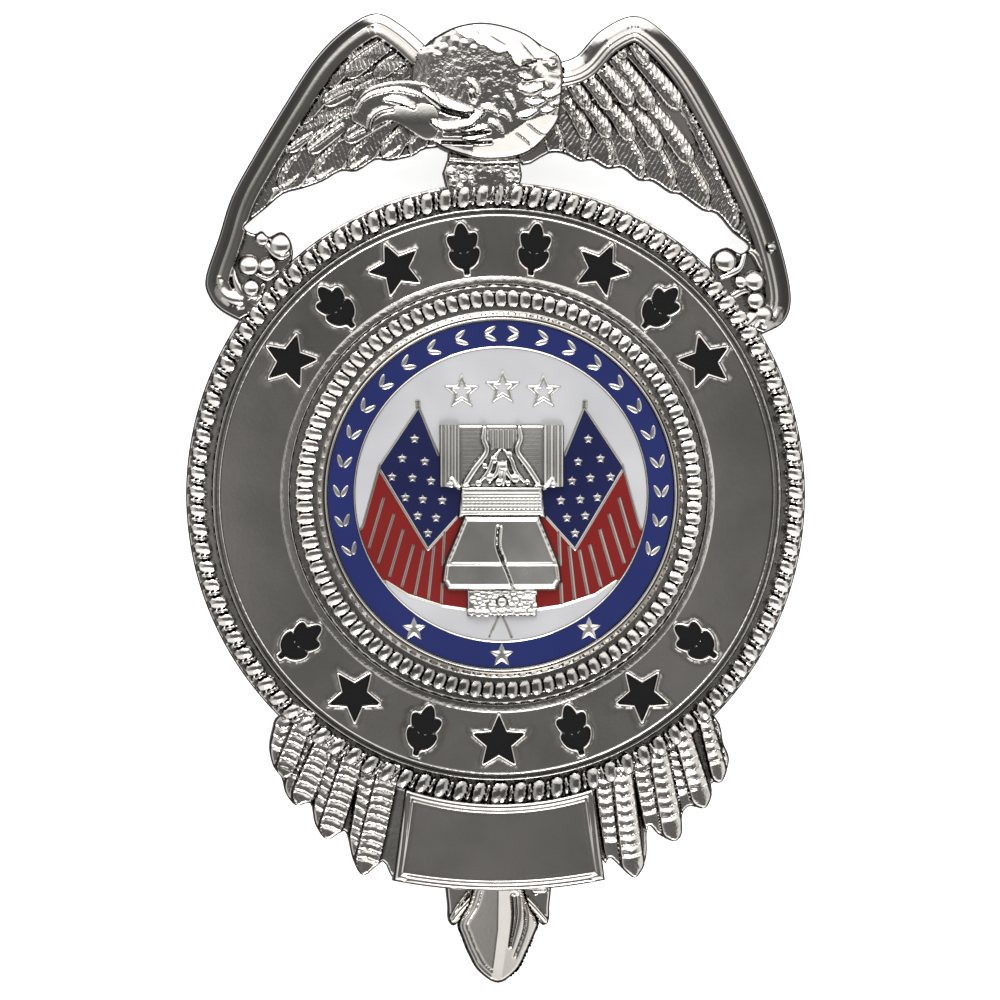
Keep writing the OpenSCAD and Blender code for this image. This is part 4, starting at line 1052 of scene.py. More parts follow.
def head(relief):
    """Eagle's head in profile: crown, cheek, beak, brow, jaw and collar."""
    p = relief.p
    d = distance_in(p, curve(HEAD, 5, closed=True))
    crown, collar = inside(p, np.array(CROWN)), inside(p, np.array(COLLAR))
    relief.h = np.where(d > 0, head_base(p, d, crown, collar), relief.h)
    for line in CROWN_CUTS:
        relief.bump(line)
    face_pebbles(relief)
    for x, y, r in SCALLOPS:
        relief.scale(x, y, r, 0.1)
    rough = (d > 0) & ~crown & ~collar
    off = p - FACE
    cheek = smooth_step(1.9 - np.hypot(off[:, 0] / 4, off[:, 1] / 2.3))
    relief.fine[d > 0] = 0
    relief.fine[rough, 2] = ((0.035 + 0.1 * cheek) * smooth_step(d / 0.5))[rough]
    relief.fine[rough, 3] = 0.3
    for line in NAPE + CRESCENTS + JAW_STRIPS:
        relief.stroke(line)
    for line in HEAD_CUTS:
        relief.bump(line)
    mask, beak = curve(MASK, 4, closed=True), curve(BEAK, 4, closed=True)
    relief.shape(mask, lambda q: 2.5 + np.interp(q[:, 0], [-14, -8, -5.8], [-0.3, 0, 0.42]), 0.5, 0.12)
    relief.shape(beak, lambda q: 2.8 + 0.05 * (q[:, 0] + 6.5) - 0.06 * (q[:, 1] - 36.6) ** 2, 0.2, 0.06)
    relief.fine[inside(p, mask)] = (0, 0, 0.05, 0.3)
    relief.fine[inside(p, beak)] = (0, 0, 0.01, 0.5)
    for line in (GAPE, JAW, HOOK, BROW, BROW_PATCH):
        relief.stroke(line)


def stem(relief):
    """Short knotted neck down to the rim."""
    inner = inside(relief.p, np.array(STEM)) & (relief.p[:, 1] < 33.6)
    relief.h[inner] = 1.75
    relief.fine[inner] = (0, 0, 0.12, 0.3)
    for x, y, r in KNOTS:
        relief.ball(x, y, r, 1.72, 0.5, 0.15)
    relief.ridge([[-4.8, 33.1, 0.25, 2.2], [-1.4, 32.9, 0.3, 2.3], [1.9, 33, 0.25, 2.2]])


def scrolls(relief):
    for line in LEFT_CURLS + RIGHT_CURLS:
        relief.ridge(line)
    for x, y, r, h in LEFT_BALLS + RIGHT_BALLS:
        relief.ball(x, y, r, h + 0.35, 0.6, 0.25)


def eagle_relief(points):
    relief = Relief(points, FIELD_H)
    relief.h += 0.25 * smooth_step((points[:, 1] - 24) / 16)
    wing_feathers(relief, (RIGHT_HEM_FEATHERS, RIGHT_SECOND, RIGHT_FIRST), 1, RIGHT_STRIP)
    wing_feathers(relief, (LEFT_HEM_FEATHERS, LEFT_SECOND, LEFT_FIRST), -1, LEFT_STRIP)
    for line in LEFT_HATCHES:
        hatch(relief, line)
    for line in LEFT_QUILLS:
        relief.stroke(line)
    for side, edge, section, facing in ((points[:, 0] < 0, LEFT_EDGE, LEFT_BAND, LEFT_FACING),
                                        (points[:, 0] >= 0, RIGHT_EDGE, RIGHT_BAND, RIGHT_FACING)):
        part = Relief(points[side], 0)
        part.h, part.fine = relief.h[side], relief.fine[side]
        leading_band(part, edge, section, facing)
        relief.h[side], relief.fine[side] = part.h, part.fine
    scrolls(relief)
    stem(relief)
    head(relief)
    return relief


def rolled(points, loops, heights, roll, fall):
    """Rolls the height down towards the outline of a union of loops."""
    over = np.clip(1 - depth_in(points, loops) / roll, 0, 1)
    return heights - fall * (1 - np.sqrt(np.clip(1 - over ** 2, 0, 1)))


# Loop round the head with finer points
HEAD_LOOP = [[-14.4, 36], [-13, 40.5], [-8.6, 41.5], [-7.5, 44.3], [-4.6, 46.1], [-1.4, 46.6], [2.2, 45.8],
             [6.2, 43], [6.2, 38], [5, 35], [2.5, 32.8], [-2, 32.4], [-6, 34], [-9, 35.2]]


def eagle():
    """Head, wings, scrolls and stem in one relief."""
    right = np.vstack([curve(RIGHT_EDGE, 6), curve(RIGHT_HEM, 3)])
    left = np.vstack([curve(LEFT_EDGE, 6), curve(LEFT_HEM, 3)])
    loops = [right, left, curve(HEAD, 5, closed=True), np.array(STEM)]
    bands = [(curve(edge, 6), [turn * row[0] for row in section[1:]])
             for edge, section, turn in ((LEFT_EDGE, LEFT_BAND, 1), (RIGHT_EDGE, RIGHT_BAND, -1))]

    def paint(points):
        relief = eagle_relief(points)
        return rolled(points, loops, relief.h, 0.24, 0.5), relief.fine

    relief_piece("eagle", loops, paint, EAGLE_STEP, fine=(curve(HEAD_LOOP, 4, closed=True), HEAD_STEP),
                 rows=bands)


# Feather sprays under the medallion
LEFT_SPRAY_PLATE = [[-18, -20], [-21.4, -21.2], [-22.1, -22.6], [-22.4, -24.4], [-22, -26.2],
                    [-21.2, -27.3], [-20.8, -28.8], [-19.8, -30], [-18.4, -29.8], [-17.9, -31.9],
                    [-16.8, -33.3], [-15.4, -32.6], [-14.8, -32.9], [-14.2, -35.4], [-13.2, -36.8],
                    [-11.3, -35.5], [-10.1, -36.8], [-8, -30], [-8.6, -26]]
RIGHT_SPRAY_PLATE = [[18, -20], [21.5, -21.6], [22.2, -24], [22.8, -25.6], [22.1, -27.7], [21.1, -28],
                     [21.1, -29], [20.3, -30.4], [18.8, -30.2], [18.1, -31], [18, -33], [17.2, -33.6],
                     [15.8, -33], [14.7, -32.1], [14.6, -35.1], [13.9, -36.6], [13.1, -37.1], [11, -35.2],
                     [10.3, -35.5], [8, -30], [8.6, -26]]
LEFT_UNDER = [[-20.8, -20.4, -22, -27.4, 2, 1.7], [-18, -22.4, -20.4, -30.2, 2.5, 1.7],
              [-15.4, -23.6, -17.7, -33.3, 2.5, 1.7], [-12.4, -25.4, -14, -36.8, 2.5, 1.7]]
LEFT_OVER = [[-18.6, -20.6, -21.2, -27.3, 2.2, 2.1], [-16.6, -23, -19.6, -30, 2.5, 2.1],
             [-14, -24.6, -16.8, -33.3, 2.6, 2.1], [-10.6, -25.8, -13.2, -36.8, 2.7, 2.1]]
RIGHT_UNDER = [[20.6, -20.4, 22.5, -27.8, 2, 1.7], [17.2, -22.8, 18.6, -31.5, 2.4, 1.8],
               [13.8, -24.8, 15.6, -33, 2.4, 1.8], [10.2, -26.4, 11.7, -35.8, 2.5, 1.8]]
RIGHT_OVER = [[20.2, -21, 22, -28, 1.9, 2.1], [18, -22.8, 20.3, -30.4, 2.3, 2.15],
              [15.6, -24.4, 17.3, -33.6, 2.4, 2.2], [12, -26.2, 13.3, -37.1, 2.5, 2.2]]
# Layers of each spray. Rows: feathers, height at the root, camber, pitch and rise of the cross bars,
# their slant, length of the plain tip, rise of the rim
SPRAYS = {
    "spray_left": (LEFT_SPRAY_PLATE, ((LEFT_UNDER, 1.35, 0.12, 0.95, 0.16, -20, 2.6, 0),
                                      (LEFT_OVER, 1.75, 0.15, 0.85, 0.13, 8, 0.8, 0.12))),
    "spray_right": (RIGHT_SPRAY_PLATE, ((RIGHT_UNDER, 1.35, 0.2, 0.95, 0.19, -12, 2, 0),
                                        (RIGHT_OVER, 1.75, 0.3, 0.95, 0.21, -12, 1.9, 0)))}


def barred_feather(relief, row, low, camber, pitch, rise, slant, plain_tip, rim):
    """Feather with cross bars over what is there."""
    near, s, left, t, half, edge = relief.feather(row, 1, 0, 0.9, 0.6)
    across = t / half
    a = math.radians(slant)
    turns = (s * math.cos(a) - np.abs(t) * math.sin(a)) / pitch
    bar = np.interp(turns % 1, [0, 0.12, 0.55, 1], [0, 1, 0.22, 0]) * (1 - 0.5 * across ** 2)
    fade = smooth_step(edge / 0.3) * smooth_step((left - plain_tip) / 0.5)
    h = low + (row[5] - low) * np.clip(s / (s + left), 0, 1) + camber * (1 - across ** 2)
    h += rim * hump(edge, 0.26, 0.13) - 0.3 * hump(edge, 0, 0.14) + rise * bar * fade
    on = (edge > 0) & (s > 0) & (left > 0)
    relief.h[near] = np.where(on, h, relief.h[near])


def sprays():
    for name, (plate, layers) in SPRAYS.items():
        loop = curve(plate, 4, closed=True)

        def paint(points):
            relief = Relief(points, 1.1)
            relief.fine[:] = (0, 0, 0.06, 0.1)
            for rows, *look in layers:
                for row in rows:
                    barred_feather(relief, row, *look)
            return rolled(points, [loop], relief.h, 0.3, 0.4), relief.fine

        relief_piece(name, [loop], paint, FEATHER_STEP)


# Blank number panel. It flares a little downwards, between the rope border and a flatter arc.
PANEL_TOP_W, PANEL_W, PANEL_BOTTOM_Y, PANEL_SAG = 18.4, 20.8, -37.3, 1
PANEL_H = PLATE_H + 0.7
# Frame of the panel. Rows: distance in from its outline, and height over its face
PANEL_FRAME = [[0.06, 0.1], [0.14, 0.24], [0.22, 0.32], [0.32, 0.36], [0.44, 0.37], [0.56, 0.35],
               [0.68, 0.31], [0.76, 0.22], [0.84, 0.1], [0.92, 0.02], [1.02, -0.02], [1.2, 0]]


def panel_outline():
    top = RIM_R - 0.4
    top_a = math.degrees(math.asin(PANEL_TOP_W / 2 / top))
    sag_r = ((PANEL_W / 2) ** 2 + PANEL_SAG ** 2) / (2 * PANEL_SAG)
    low_a = math.degrees(math.asin(PANEL_W / 2 / sag_r))
    upper = polar(top, 270 + np.linspace(-top_a, top_a, 30)) + [0, RING_Y]
    lower = polar(sag_r, 270 + np.linspace(low_a, -low_a, 30)) + [0, PANEL_BOTTOM_Y - PANEL_SAG + sag_r]
    return np.vstack([upper, lower])


def number_panel():
    loop = panel_outline()
    out, rise = np.array(PANEL_FRAME).T

    def height(p):
        d = distance_in(p, loop)
        side = smooth_step((np.abs(p[:, 0]) - 8.7) / 0.8) * smooth_step((d - 0.2) / 0.2)
        return PANEL_H + np.interp(d, [0, *out], [-0.5, *rise]) * (1 - 0.6 * side)

    relief_piece("number_panel", [loop], height, PANEL_STEP, edge_rows=out)


# Leaf tip: a ridged middle leaf between two short ones
TIP_LEAF = [[-1.8, -36.9], [-3, -39.6], [-4, -41.5], [-3.6, -43], [-2.9, -44.7], [-1.9, -46.3], [0, -47.4],
            [1.9, -46.2], [2.9, -44.4], [3.6, -42.8], [4, -41.4], [2.9, -39.6], [1.8, -36.9]]
SIDE_LEAF = [[-1.6, -36.9], [-4.9, -37], [-5, -40], [-4.95, -41.2], [-4.5, -41.75], [-3.9, -41.4],
             [-2.2, -39.6]]
SPINE = [[-0.1, -36.9], [-0.15, -42], [-0.5, -45], [-0.8, -47]]
# Veins of the short leaves. Rows: x, y, half width, height of the crest
TIP_RIDGES = [
    [[-2.2, -38.4, 0.25, 1.95], [-3.4, -39.8, 0.3, 2], [-4.5, -41.2, 0.3, 1.8]],
    [[-3, -38.4, 0.15, 1.8], [-4, -39.8, 0.2, 1.85], [-4.7, -41, 0.2, 1.7]],
    [[2.2, -38.6, 0.3, 1.95], [3.4, -39.9, 0.3, 2], [4.6, -41.3, 0.3, 1.8]],
    [[3.5, -38.3, 0.35, 1.9], [4.5, -38.3, 0.3, 1.8]]]
# Grooves right of the spine. Rows: x, y, half width, change of height
TIP_CUTS = [
    [[1.5, -38.9, 0.3, -0.42], [1.6, -41, 0.28, -0.4], [1.1, -43.8, 0.14, -0.25]],
    [[2.6, -39.6, 0.14, -0.2], [2.6, -42, 0.14, -0.2], [1.6, -44.8, 0.12, -0.16]]]


def leaf_tip():
    main = curve(TIP_LEAF, 5, closed=True)
    left = curve(SIDE_LEAF, 5, closed=True)
    loops = [main, left, flipped(left)]

    def roof(p):
        """Slopes off the spine, gentler on the left, where two fine lines follow the edge."""
        d = nearest(p, np.array(SPINE))[0]
        crest = 2.45 + 0.06 * (p[:, 1] + 38) - 0.9 * smooth_step((p[:, 1] + 38.1) / 0.8)
        near, far = np.minimum(np.abs(d), 1), np.clip(np.abs(d) - 1, 0, None)
        edge = distance_in(p, main)
        lines = hump(edge, 0.55, 0.09) + hump(edge, 0.95, 0.07)
        return crest - np.where(d < 0, 0.34 * np.abs(d) + 0.06 * lines, 0.6 * near + 0.38 * far)

    def paint(points):
        relief = Relief(points, 1.2)
        for loop in loops[1:]:
            relief.shape(loop, 1.55, 0.5, 0.35)
        for line in TIP_RIDGES:
            relief.ridge(line)
        relief.shape(main, roof, 0.45, 0.5)
        for line in TIP_CUTS:
            relief.bump(line)
        return rolled(points, loops, relief.h, 0.3, 0.35)

    relief_piece("leaf_tip", loops, paint, FEATHER_STEP)


# Centre seal. Its outlines are measured from its middle.
FLAG = [[-8.1, 8.6], [-11.9, 2.9], [-13.5, -2.9], [-15, -6], [-11.6, -8.3], [-9.2, -9.8], [-5.8, -10.9],
        [-1, -11.6], [-1, -1], [-5, 1]]
CANTON = [[-8.1, 9], [-13, 3.6], [-11.9, 2.4], [-7.2, -5.4], [-3.6, -1.4], [-1, 0]]
BELL = [[-3.7, -2], [-5.7, -6.8], [-5.9, -8.4], [-5.3, -9.4], [5.3, -9.4], [5.9, -8.4], [5.7, -6.8],
        [3.7, -2]]
SHOULDER = [[-4.3, -2.3], [4.3, -2.3], [4, 0.8], [-4, 0.8]]
YOKE = [[-6.1, 0.7], [6.1, 0.7], [6.1, 6.8], [-6.1, 6.8]]
BASE = [[-3.4, -11.9], [3.4, -11.9], [3.4, -9.3], [-3.4, -9.3]]
UPPER_STARS = [[-3.9, 10], [0.1, 10.4], [4.1, 10]]
CANTON_STARS = [[8.5, 5.4], [7.5, 3.2], [9.7, 3.5], [6.9, 1.3], [8.7, 1.6], [10.7, 1.7], [5.8, -0.6],
                [7.7, -0.5], [9.4, -0.3], [6.4, -2.3], [8.2, -2.1], [7.2, -3.8]]
STRIPE_LINES = [
    [[-12.4, 1.4], [-13.7, -3.4]],
    [[-11.5, -0.3], [-13, -5.4]],
    [[-10.5, -1.9], [-12.1, -6.9]],
    [[-9.6, -3.4], [-11, -8.2]],
    [[-8.6, -4.9], [-9.8, -9.2]],
    [[-7.6, -5.4], [-8.5, -10]],
    [[-6.6, -5], [-7.2, -10.6]],
    [[-5.6, -3.6], [-5.9, -11]]]
FINIAL = [[8.15, 8.4], [8.2, 9.3]]
WHITE_LOW_Y, WHITE_HIGH_Y = -8, -3.8
RING_STAR_A = (237, 270, 303)
RING_MID_R = (BLUE_R + WHITE_R + 0.32) / 2
LINE_W, FINIAL_W, TAIL_W = 0.26, 0.5, 0.3


def on_seal(points):
    return np.asarray(points, float) + SEAL


def circle(r):
    return on_seal(polar(np.full(240, r), 1.5 * np.arange(240)))


def bell_loops():
    return [on_seal(shape) for shape in (BELL, SHOULDER, YOKE, BASE)]


def enamel_field(name, loops, chosen, slot):
    """Flat enamel field between its outlines."""
    loops = [resampled(loop, 0.5) for loop in loops]
    points = lattice(SEAL - BLUE_R, SEAL + BLUE_R, 0.7)
    solid(name, loops, points[chosen(points)], chosen, lambda p: np.full(len(p), ENAMEL_H), FLOOR_H + 0.05,
          (name, slot), 60)


def seal_fields():
    bell = bell_loops()
    disc = circle(WHITE_R + 0.15)
    sides = (("left", 1), ("right", -1))
    flags = {name: on_seal(flipped(FLAG, side)) for name, side in sides}
    cantons = {name: on_seal(flipped(CANTON, side)) for name, side in sides}
    flags_and_bell = [*flags.values(), *bell]

    def white(p, upper):
        y = p[:, 1] - SEAL[1]
        part = y > WHITE_HIGH_Y if upper else y < WHITE_LOW_Y
        return inside(p, disc) & ~within_any(p, flags_and_bell) & part

    for name, upper in (("enamel_white_upper", True), ("enamel_white_lower", False)):
        enamel_field(name, [disc, *flags_and_bell], lambda p: white(p, upper), "white_enamel")
    for side, _ in sides:
        flag, canton = flags[side], cantons[side]
        loops = [disc, flag, canton, *bell]

        def in_flag(p):
            return inside(p, flag) & inside(p, disc) & ~within_any(p, bell)

        enamel_field(f"enamel_canton_{side}", loops, lambda p: in_flag(p) & inside(p, canton),
                     "canton_enamel")
        enamel_field(f"enamel_stripes_{side}", loops, lambda p: in_flag(p) & ~inside(p, canton),
                     "red_enamel")
    outer, inner = circle(BLUE_R), circle(WHITE_R + 0.2)
    enamel_field("enamel_blue_ring", [outer, inner], lambda p: inside(p, outer) & ~inside(p, inner),
                 "blue_enamel")


def wire(name, line, width, high):
    """Thin rounded metal line standing on the seal."""
    line = np.asarray(line, float)
    side = side_of(line)
    section = [(-0.5, FLOOR_H), (-0.5, high - width * 0.25), (-0.06, high), (0.06, high),
               (0.5, high - width * 0.25), (0.5, FLOOR_H)]
    points = np.vstack([placed(line + side * width * across, np.full(len(line), h)) for across, h in section])
    m, n = len(section), len(line)
    faces = []
    for k in range(n - 1):
        for j in range(m):
            a, b = j * n + k, (j + 1) % m * n + k
            faces.append((a, b, b + 1, a + 1))
    faces.append(tuple(j * n for j in reversed(range(m))))
    faces.append(tuple(j * n + n - 1 for j in range(m)))
    mesh_object(name, points, faces, SEAL_METAL, 50)


def clipped(line, keep):
    """Parts of a line where its points are kept."""
    dense = np.vstack([resampled(line, 0.15, False), line[-1:]])
    on = keep(dense)
    parts, start = [], None
    for k, value in enumerate(on):
        if value and start is None:
            start = k
        if start is not None and (not value or k == len(on) - 1):
            if k - start > 2:
                parts.append(dense[start:k])
            start = None
    return parts


def seal_lines():
    """Metal lines between the enamels, stripes of the flags, finials of their poles, and two tails."""
    bell = bell_loops()
    disc = circle(WHITE_R)
    wires = []

    def clear(p):
        return inside(p, disc) & ~within_any(p, bell)

    for side in (1, -1):
        flag = on_seal(flipped(FLAG, side))

        def in_flag(p):
            return clear(p) & (distance_in(p, flag) > 0.05)

        stripe_w = LINE_W if side > 0 else 0.4
        lines = [(flag[:8], LINE_W, clear), (flag[[0, 9, 8]], LINE_W, clear),
                 (on_seal(flipped(CANTON, side)), LINE_W, in_flag)]
        lines += [(on_seal(flipped(stripe, side)), stripe_w, in_flag) for stripe in STRIPE_LINES]
        for line, width, keep in lines:
            wires += [(part, width, WALL_H) for part in clipped(line, keep)]
    for side in (-1, 1):
        wires.append((resampled(on_seal(flipped(FINIAL, side)), 0.1)[:9], FINIAL_W, WALL_H + 0.1))
        tail = on_seal([[side * 0.2 - 0.1, -11.9], [side * 0.7 - 0.1, -13], [side * 1.1 - 0.1, -14]])
        wires.append((curve(tail, 5), TAIL_W, WALL_H))
    for k, (line, width, high) in enumerate(wires):
        wire(f"seal_line_{k + 1}", line, width, high)


# Section of the seal's rims. Rows: distance out, and height over the enamel
RIM_SECTION = [[0, -0.1], [0.03, 0.08], [0.1, 0.18], [0.2, 0.2], [0.3, 0.16], [0.38, 0.02], [0.41, -0.1]]


def seal_rims():
    """Floor of the seal, its outer rim and the ring between blue and white."""
    floor_radii = np.array([0.02, 5, 10, 14, BLUE_R, BLUE_R + 0.06])
    ring_piece("seal_floor", floor_radii, 160, lambda r, a: np.full(len(r), FLOOR_H), SEAT_H + 0.05,
               SEAL_METAL, on_seal_middle)
    out, rise = np.array(RIM_SECTION).T
    for name, radii, high, foot in (
            ("seal_rim", BLUE_R + 0.04 + out, ENAMEL_H, SEAT_H + 0.05),
            ("seal_inner_ring", WHITE_R + 0.04 + out * 0.7, ENAMEL_H - 0.08, FLOOR_H)):
        ring_piece(name, radii, 360, lambda r, a: np.interp(r, radii, high + rise), foot, SEAL_METAL,
                   on_seal_middle)


def star_piece(name, centre, r, notch, h, hollow):
    """Raised star, either a flat outline or ridged."""
    loops = [resampled(star(r, notch) + centre, 0.12)]
    if hollow:
        loops.append(resampled(star(r * 0.52, notch) + centre, 0.12))
    step = max(0.08, r / 16)

    def chosen(p):
        return inside(p, loops[0]) & ~(inside(p, loops[-1]) & hollow)

    def gap(p):
        return np.min([np.abs(distance_in(p, loop)) for loop in loops], axis=0)

    def height(p):
        if hollow:
            return h - 0.05 + 0.05 * smooth_step(gap(p) / 0.1)
        return h - 0.1 + 0.3 * np.minimum(gap(p), 0.3)

    points = lattice_over(loops, step)
    points = points[gap(points) > step * 0.5]
    solid(name, loops, points[chosen(points)], chosen, height, FLOOR_H, SEAL_METAL)


def seal_stars():
    for k, p in enumerate(UPPER_STARS):
        star_piece(f"upper_star_{k + 1}", on_seal(p), 1.8, 0.45, WALL_H + 0.05, True)
    for k, a in enumerate(RING_STAR_A):
        star_piece(f"ring_star_{k + 1}", on_seal(polar(RING_MID_R, a)), 1.25, 0.45, WALL_H + 0.05, False)
    for name, side in (("right", 1), ("left", -1)):
        for k, p in enumerate(flipped(CANTON_STARS, side)):
            star_piece(f"canton_star_{name}_{k + 1}", on_seal(p), 0.86, 0.46, WALL_H - 0.02, False)


# Wreath: pairs of leaves on each side, degrees from the horizontal down to the first pair, and the
# step from pair to pair
LEAF_PAIRS, LEAF_FIRST_A, LEAF_STEP_A = 11, 20, 10.6
LEAF_LONG, LEAF_WIDE, LEAF_SPREAD = 1.3, 0.46, 0.4


def wreath():
    """Ring of small leaves on the blue enamel, in pairs either side of the middle."""
    loops = []
    for side in (-1, 1):
        for k in range(LEAF_PAIRS):
            for fork in (-1, 1):
                leaf = turned(leaf_outline(LEAF_LONG, LEAF_WIDE, 14), -side * (90 - fork * 28),
                              (RING_MID_R + fork * LEAF_SPREAD, 0))
                loops.append(on_seal(turned(leaf, 90 + side * (90 + LEAF_FIRST_A - k * LEAF_STEP_A))))
    for k, loop in enumerate(loops):
        points = lattice_over([loop], 0.12)
        points = points[distance_in(points, loop) > 0.06]
        solid(f"wreath_leaf_{k + 1}", [loop], points, lambda p: inside(p, loop),
              lambda p: WALL_H - 0.06 + 0.06 * np.sqrt(np.clip(distance_in(p, loop) / 0.27, 0, 1)), FLOOR_H,
              SEAL_METAL)


# Straps of the yoke, and the short slings under it, on the right. Rows: x, y, half width, height
STRAPS = [
    [[1.7, 6.5, 0.25, 2.6], [1.8, 5.4, 0.3, 2.7], [1.5, 4.2, 0.3, 2.75], [2.6, 2.6, 0.35, 2.8],
     [3.5, 1.2, 0.35, 2.7]],
    [[3.4, 0.6, 0.5, 2.7], [4.4, 0.5, 0.55, 2.7], [4.9, 1.4, 0.35, 2.6]]]
SLINGS = [
    [[0.2, 4.3, 0.15, 2.5], [0.9, 3.4, 0.25, 2.65], [1.3, 2.3, 0.28, 2.65], [2.1, 1.3, 0.2, 2.5]],
    [[0.4, 3.2, 0.15, 2.5], [0.5, 2.2, 0.25, 2.6], [1.2, 1.2, 0.22, 2.5]],
    [[0.1, 2.4, 0.15, 2.5], [0.2, 1.6, 0.2, 2.6], [0.1, 0.9, 0.15, 2.5]]]
# Knobs of the slings. Rows: x, y, radius
KNOBS = [[-1.2, 1.7, 0.45], [1.3, 1.6, 0.5], [0.1, 2.8, 0.5], [-0.8, 3.4, 0.4], [0.7, 3.9, 0.35],
         [-0.3, 1.2, 0.4], [0.6, 1.1, 0.3], [-2.3, 1.1, 0.35], [2.5, 1.2, 0.3], [-1.7, 2.8, 0.3]]
# Bar of the bell, and its crack: a groove with a raised edge. Rows: x, y, half width, change of height
BELL_LINES = [
    [[-5.4, -6.8, 0.12, 0.06], [0, -6.8, 0.12, 0.07], [5.4, -6.8, 0.12, 0.06]],
    [[-0.4, -3.2, 0.12, -0.22], [-0.5, -5, 0.12, -0.22], [0, -6.4, 0.14, -0.25], [0.5, -7.6, 0.12, -0.22],
     [1.1, -9.2, 0.12, -0.2]],
    [[-0.1, -3.2, 0.1, 0.1], [-0.2, -5, 0.1, 0.1], [0.3, -6.4, 0.1, 0.1]]]


def wave(x, pitch):
    return np.cos(2 * np.pi * x / pitch)


def yoke_heights(relief):
    """Yoke with fluted ends, a fluted hub and two straps."""
    x, y = relief.p.T
    yoke = np.array(YOKE)
    relief.shape(yoke, 2.15, 0.3, 0.25)
    column = (np.abs(x) > 4.1) & inside(relief.p, yoke)
    flutes = 2.45 + 0.05 * wave(np.abs(x) - 4.1, 0.62) - 0.3 * smooth_step((np.abs(x) - 5.7) / 0.5)
    relief.h[column] = flutes[column]
    panel = (np.abs(x) < 4) & (np.abs(x) > 1.6) & (y > 1.2) & (y < 6.4)
    relief.h += np.where(panel, 0.008 * wave(y, 0.4) * smooth_step((4 - np.abs(x)) / 0.3), 0)
    hub = (np.abs(x) < 1.7) & (y > 4.4) & (y < 6.3)
    relief.h[hub] = 2.35 + 0.04 * wave(x[hub], 0.5)
    for side in (-1, 1):
        for line in STRAPS:
            relief.ridge([[side * x0, *rest] for x0, *rest in line])
        relief.ball(side * 5, 0.9, 0.4, 2.3)


def bell_heights(points):
    """Bell, its shoulder, yoke, slings and base."""
    relief = Relief(points - SEAL, ENAMEL_H)
    p = relief.p
    x, y = p.T
    yoke_heights(relief)
    shoulder, bell, base = np.array(SHOULDER), np.array(BELL), np.array(BASE)
    relief.shape(shoulder, lambda q: 2.75 - 0.02 * q[:, 0] ** 2, 0.5, 0.45)
    on = inside(p, shoulder)
    relief.h[on] += 0.03 * wave(y[on], 0.62)
    beads = on & (y < -0.3) & (y > -1.5)
    relief.h[beads] += 0.025 * wave(x[beads], 0.42)
    relief.shape(bell, lambda q: 2.6 - 0.012 * q[:, 0] ** 2, 0.25, 0.4)
    d = distance_in(p, bell)
    relief.h += np.where(d > 0, 0.16 * hump(d, 0.35, 0.16), 0)
    for line in BELL_LINES:
        relief.bump(line)
    relief.shape(base, 2.25, 0.25, 0.3)
    rng = np.random.default_rng(11)
    for cx, cy in lattice((-2.9, -11.4), (2.5, -10), 0.72):
        jx, jy, r = rng.uniform((-0.12, -0.12, 0.36), (0.12, 0.12, 0.48))
        relief.ball(cx + jx, cy + jy, r, 2.15, 0.5, 0.25)
    relief.ball(0, -10.5, 0.6, 2.2)
    for side in (-1, 1):
        for line in SLINGS:
            relief.ridge([[side * x0, *rest] for x0, *rest in line])
    for cx, cy, r in KNOBS:
        relief.ball(cx, cy, r, 2.45, 0.55, 0.12)
    return relief.h


def bell():
    relief_piece("bell", bell_loops(), bell_heights, BELL_STEP, FLOOR_H, SEAL_METAL)


# Brooch pin behind the badge: bar, hinge block, stem and catch
def block(name, low, high, bevel):
    """Block with rounded edges."""
    low, high = np.array(low), np.array(high)
    corners = np.array([(x, y, z) for x in (-1, 1) for y in (-1, 1) for z in (-1, 1)])
    points = ((high + low) / 2 + (high - low) / 2 * corners) * MM
    mesh = bpy.data.meshes.new(name)
    sides = [(0, 1, 3, 2), (4, 6, 7, 5), (0, 4, 5, 1), (2, 3, 7, 6), (0, 2, 6, 4), (1, 5, 7, 3)]
    mesh.from_pydata(points.tolist(), [], sides)
    mesh.shade_smooth()
    mesh.set_sharp_from_angle(angle=math.radians(50))
    edge = adopted(name, mesh, PIN).modifiers.new("edges", "BEVEL")
    edge.width = bevel * MM
    edge.segments = 3


# Sizes of the pin's parts
BAR_W, BAR_T, HINGE_LONG = 5, 0.6, 3.2
CATCH_LONG, CATCH_W, SLOT_W = 2.6, 4, 1.6
STEM_Z, STEM_D = 1.3, 1
STEM_SIDES = 24


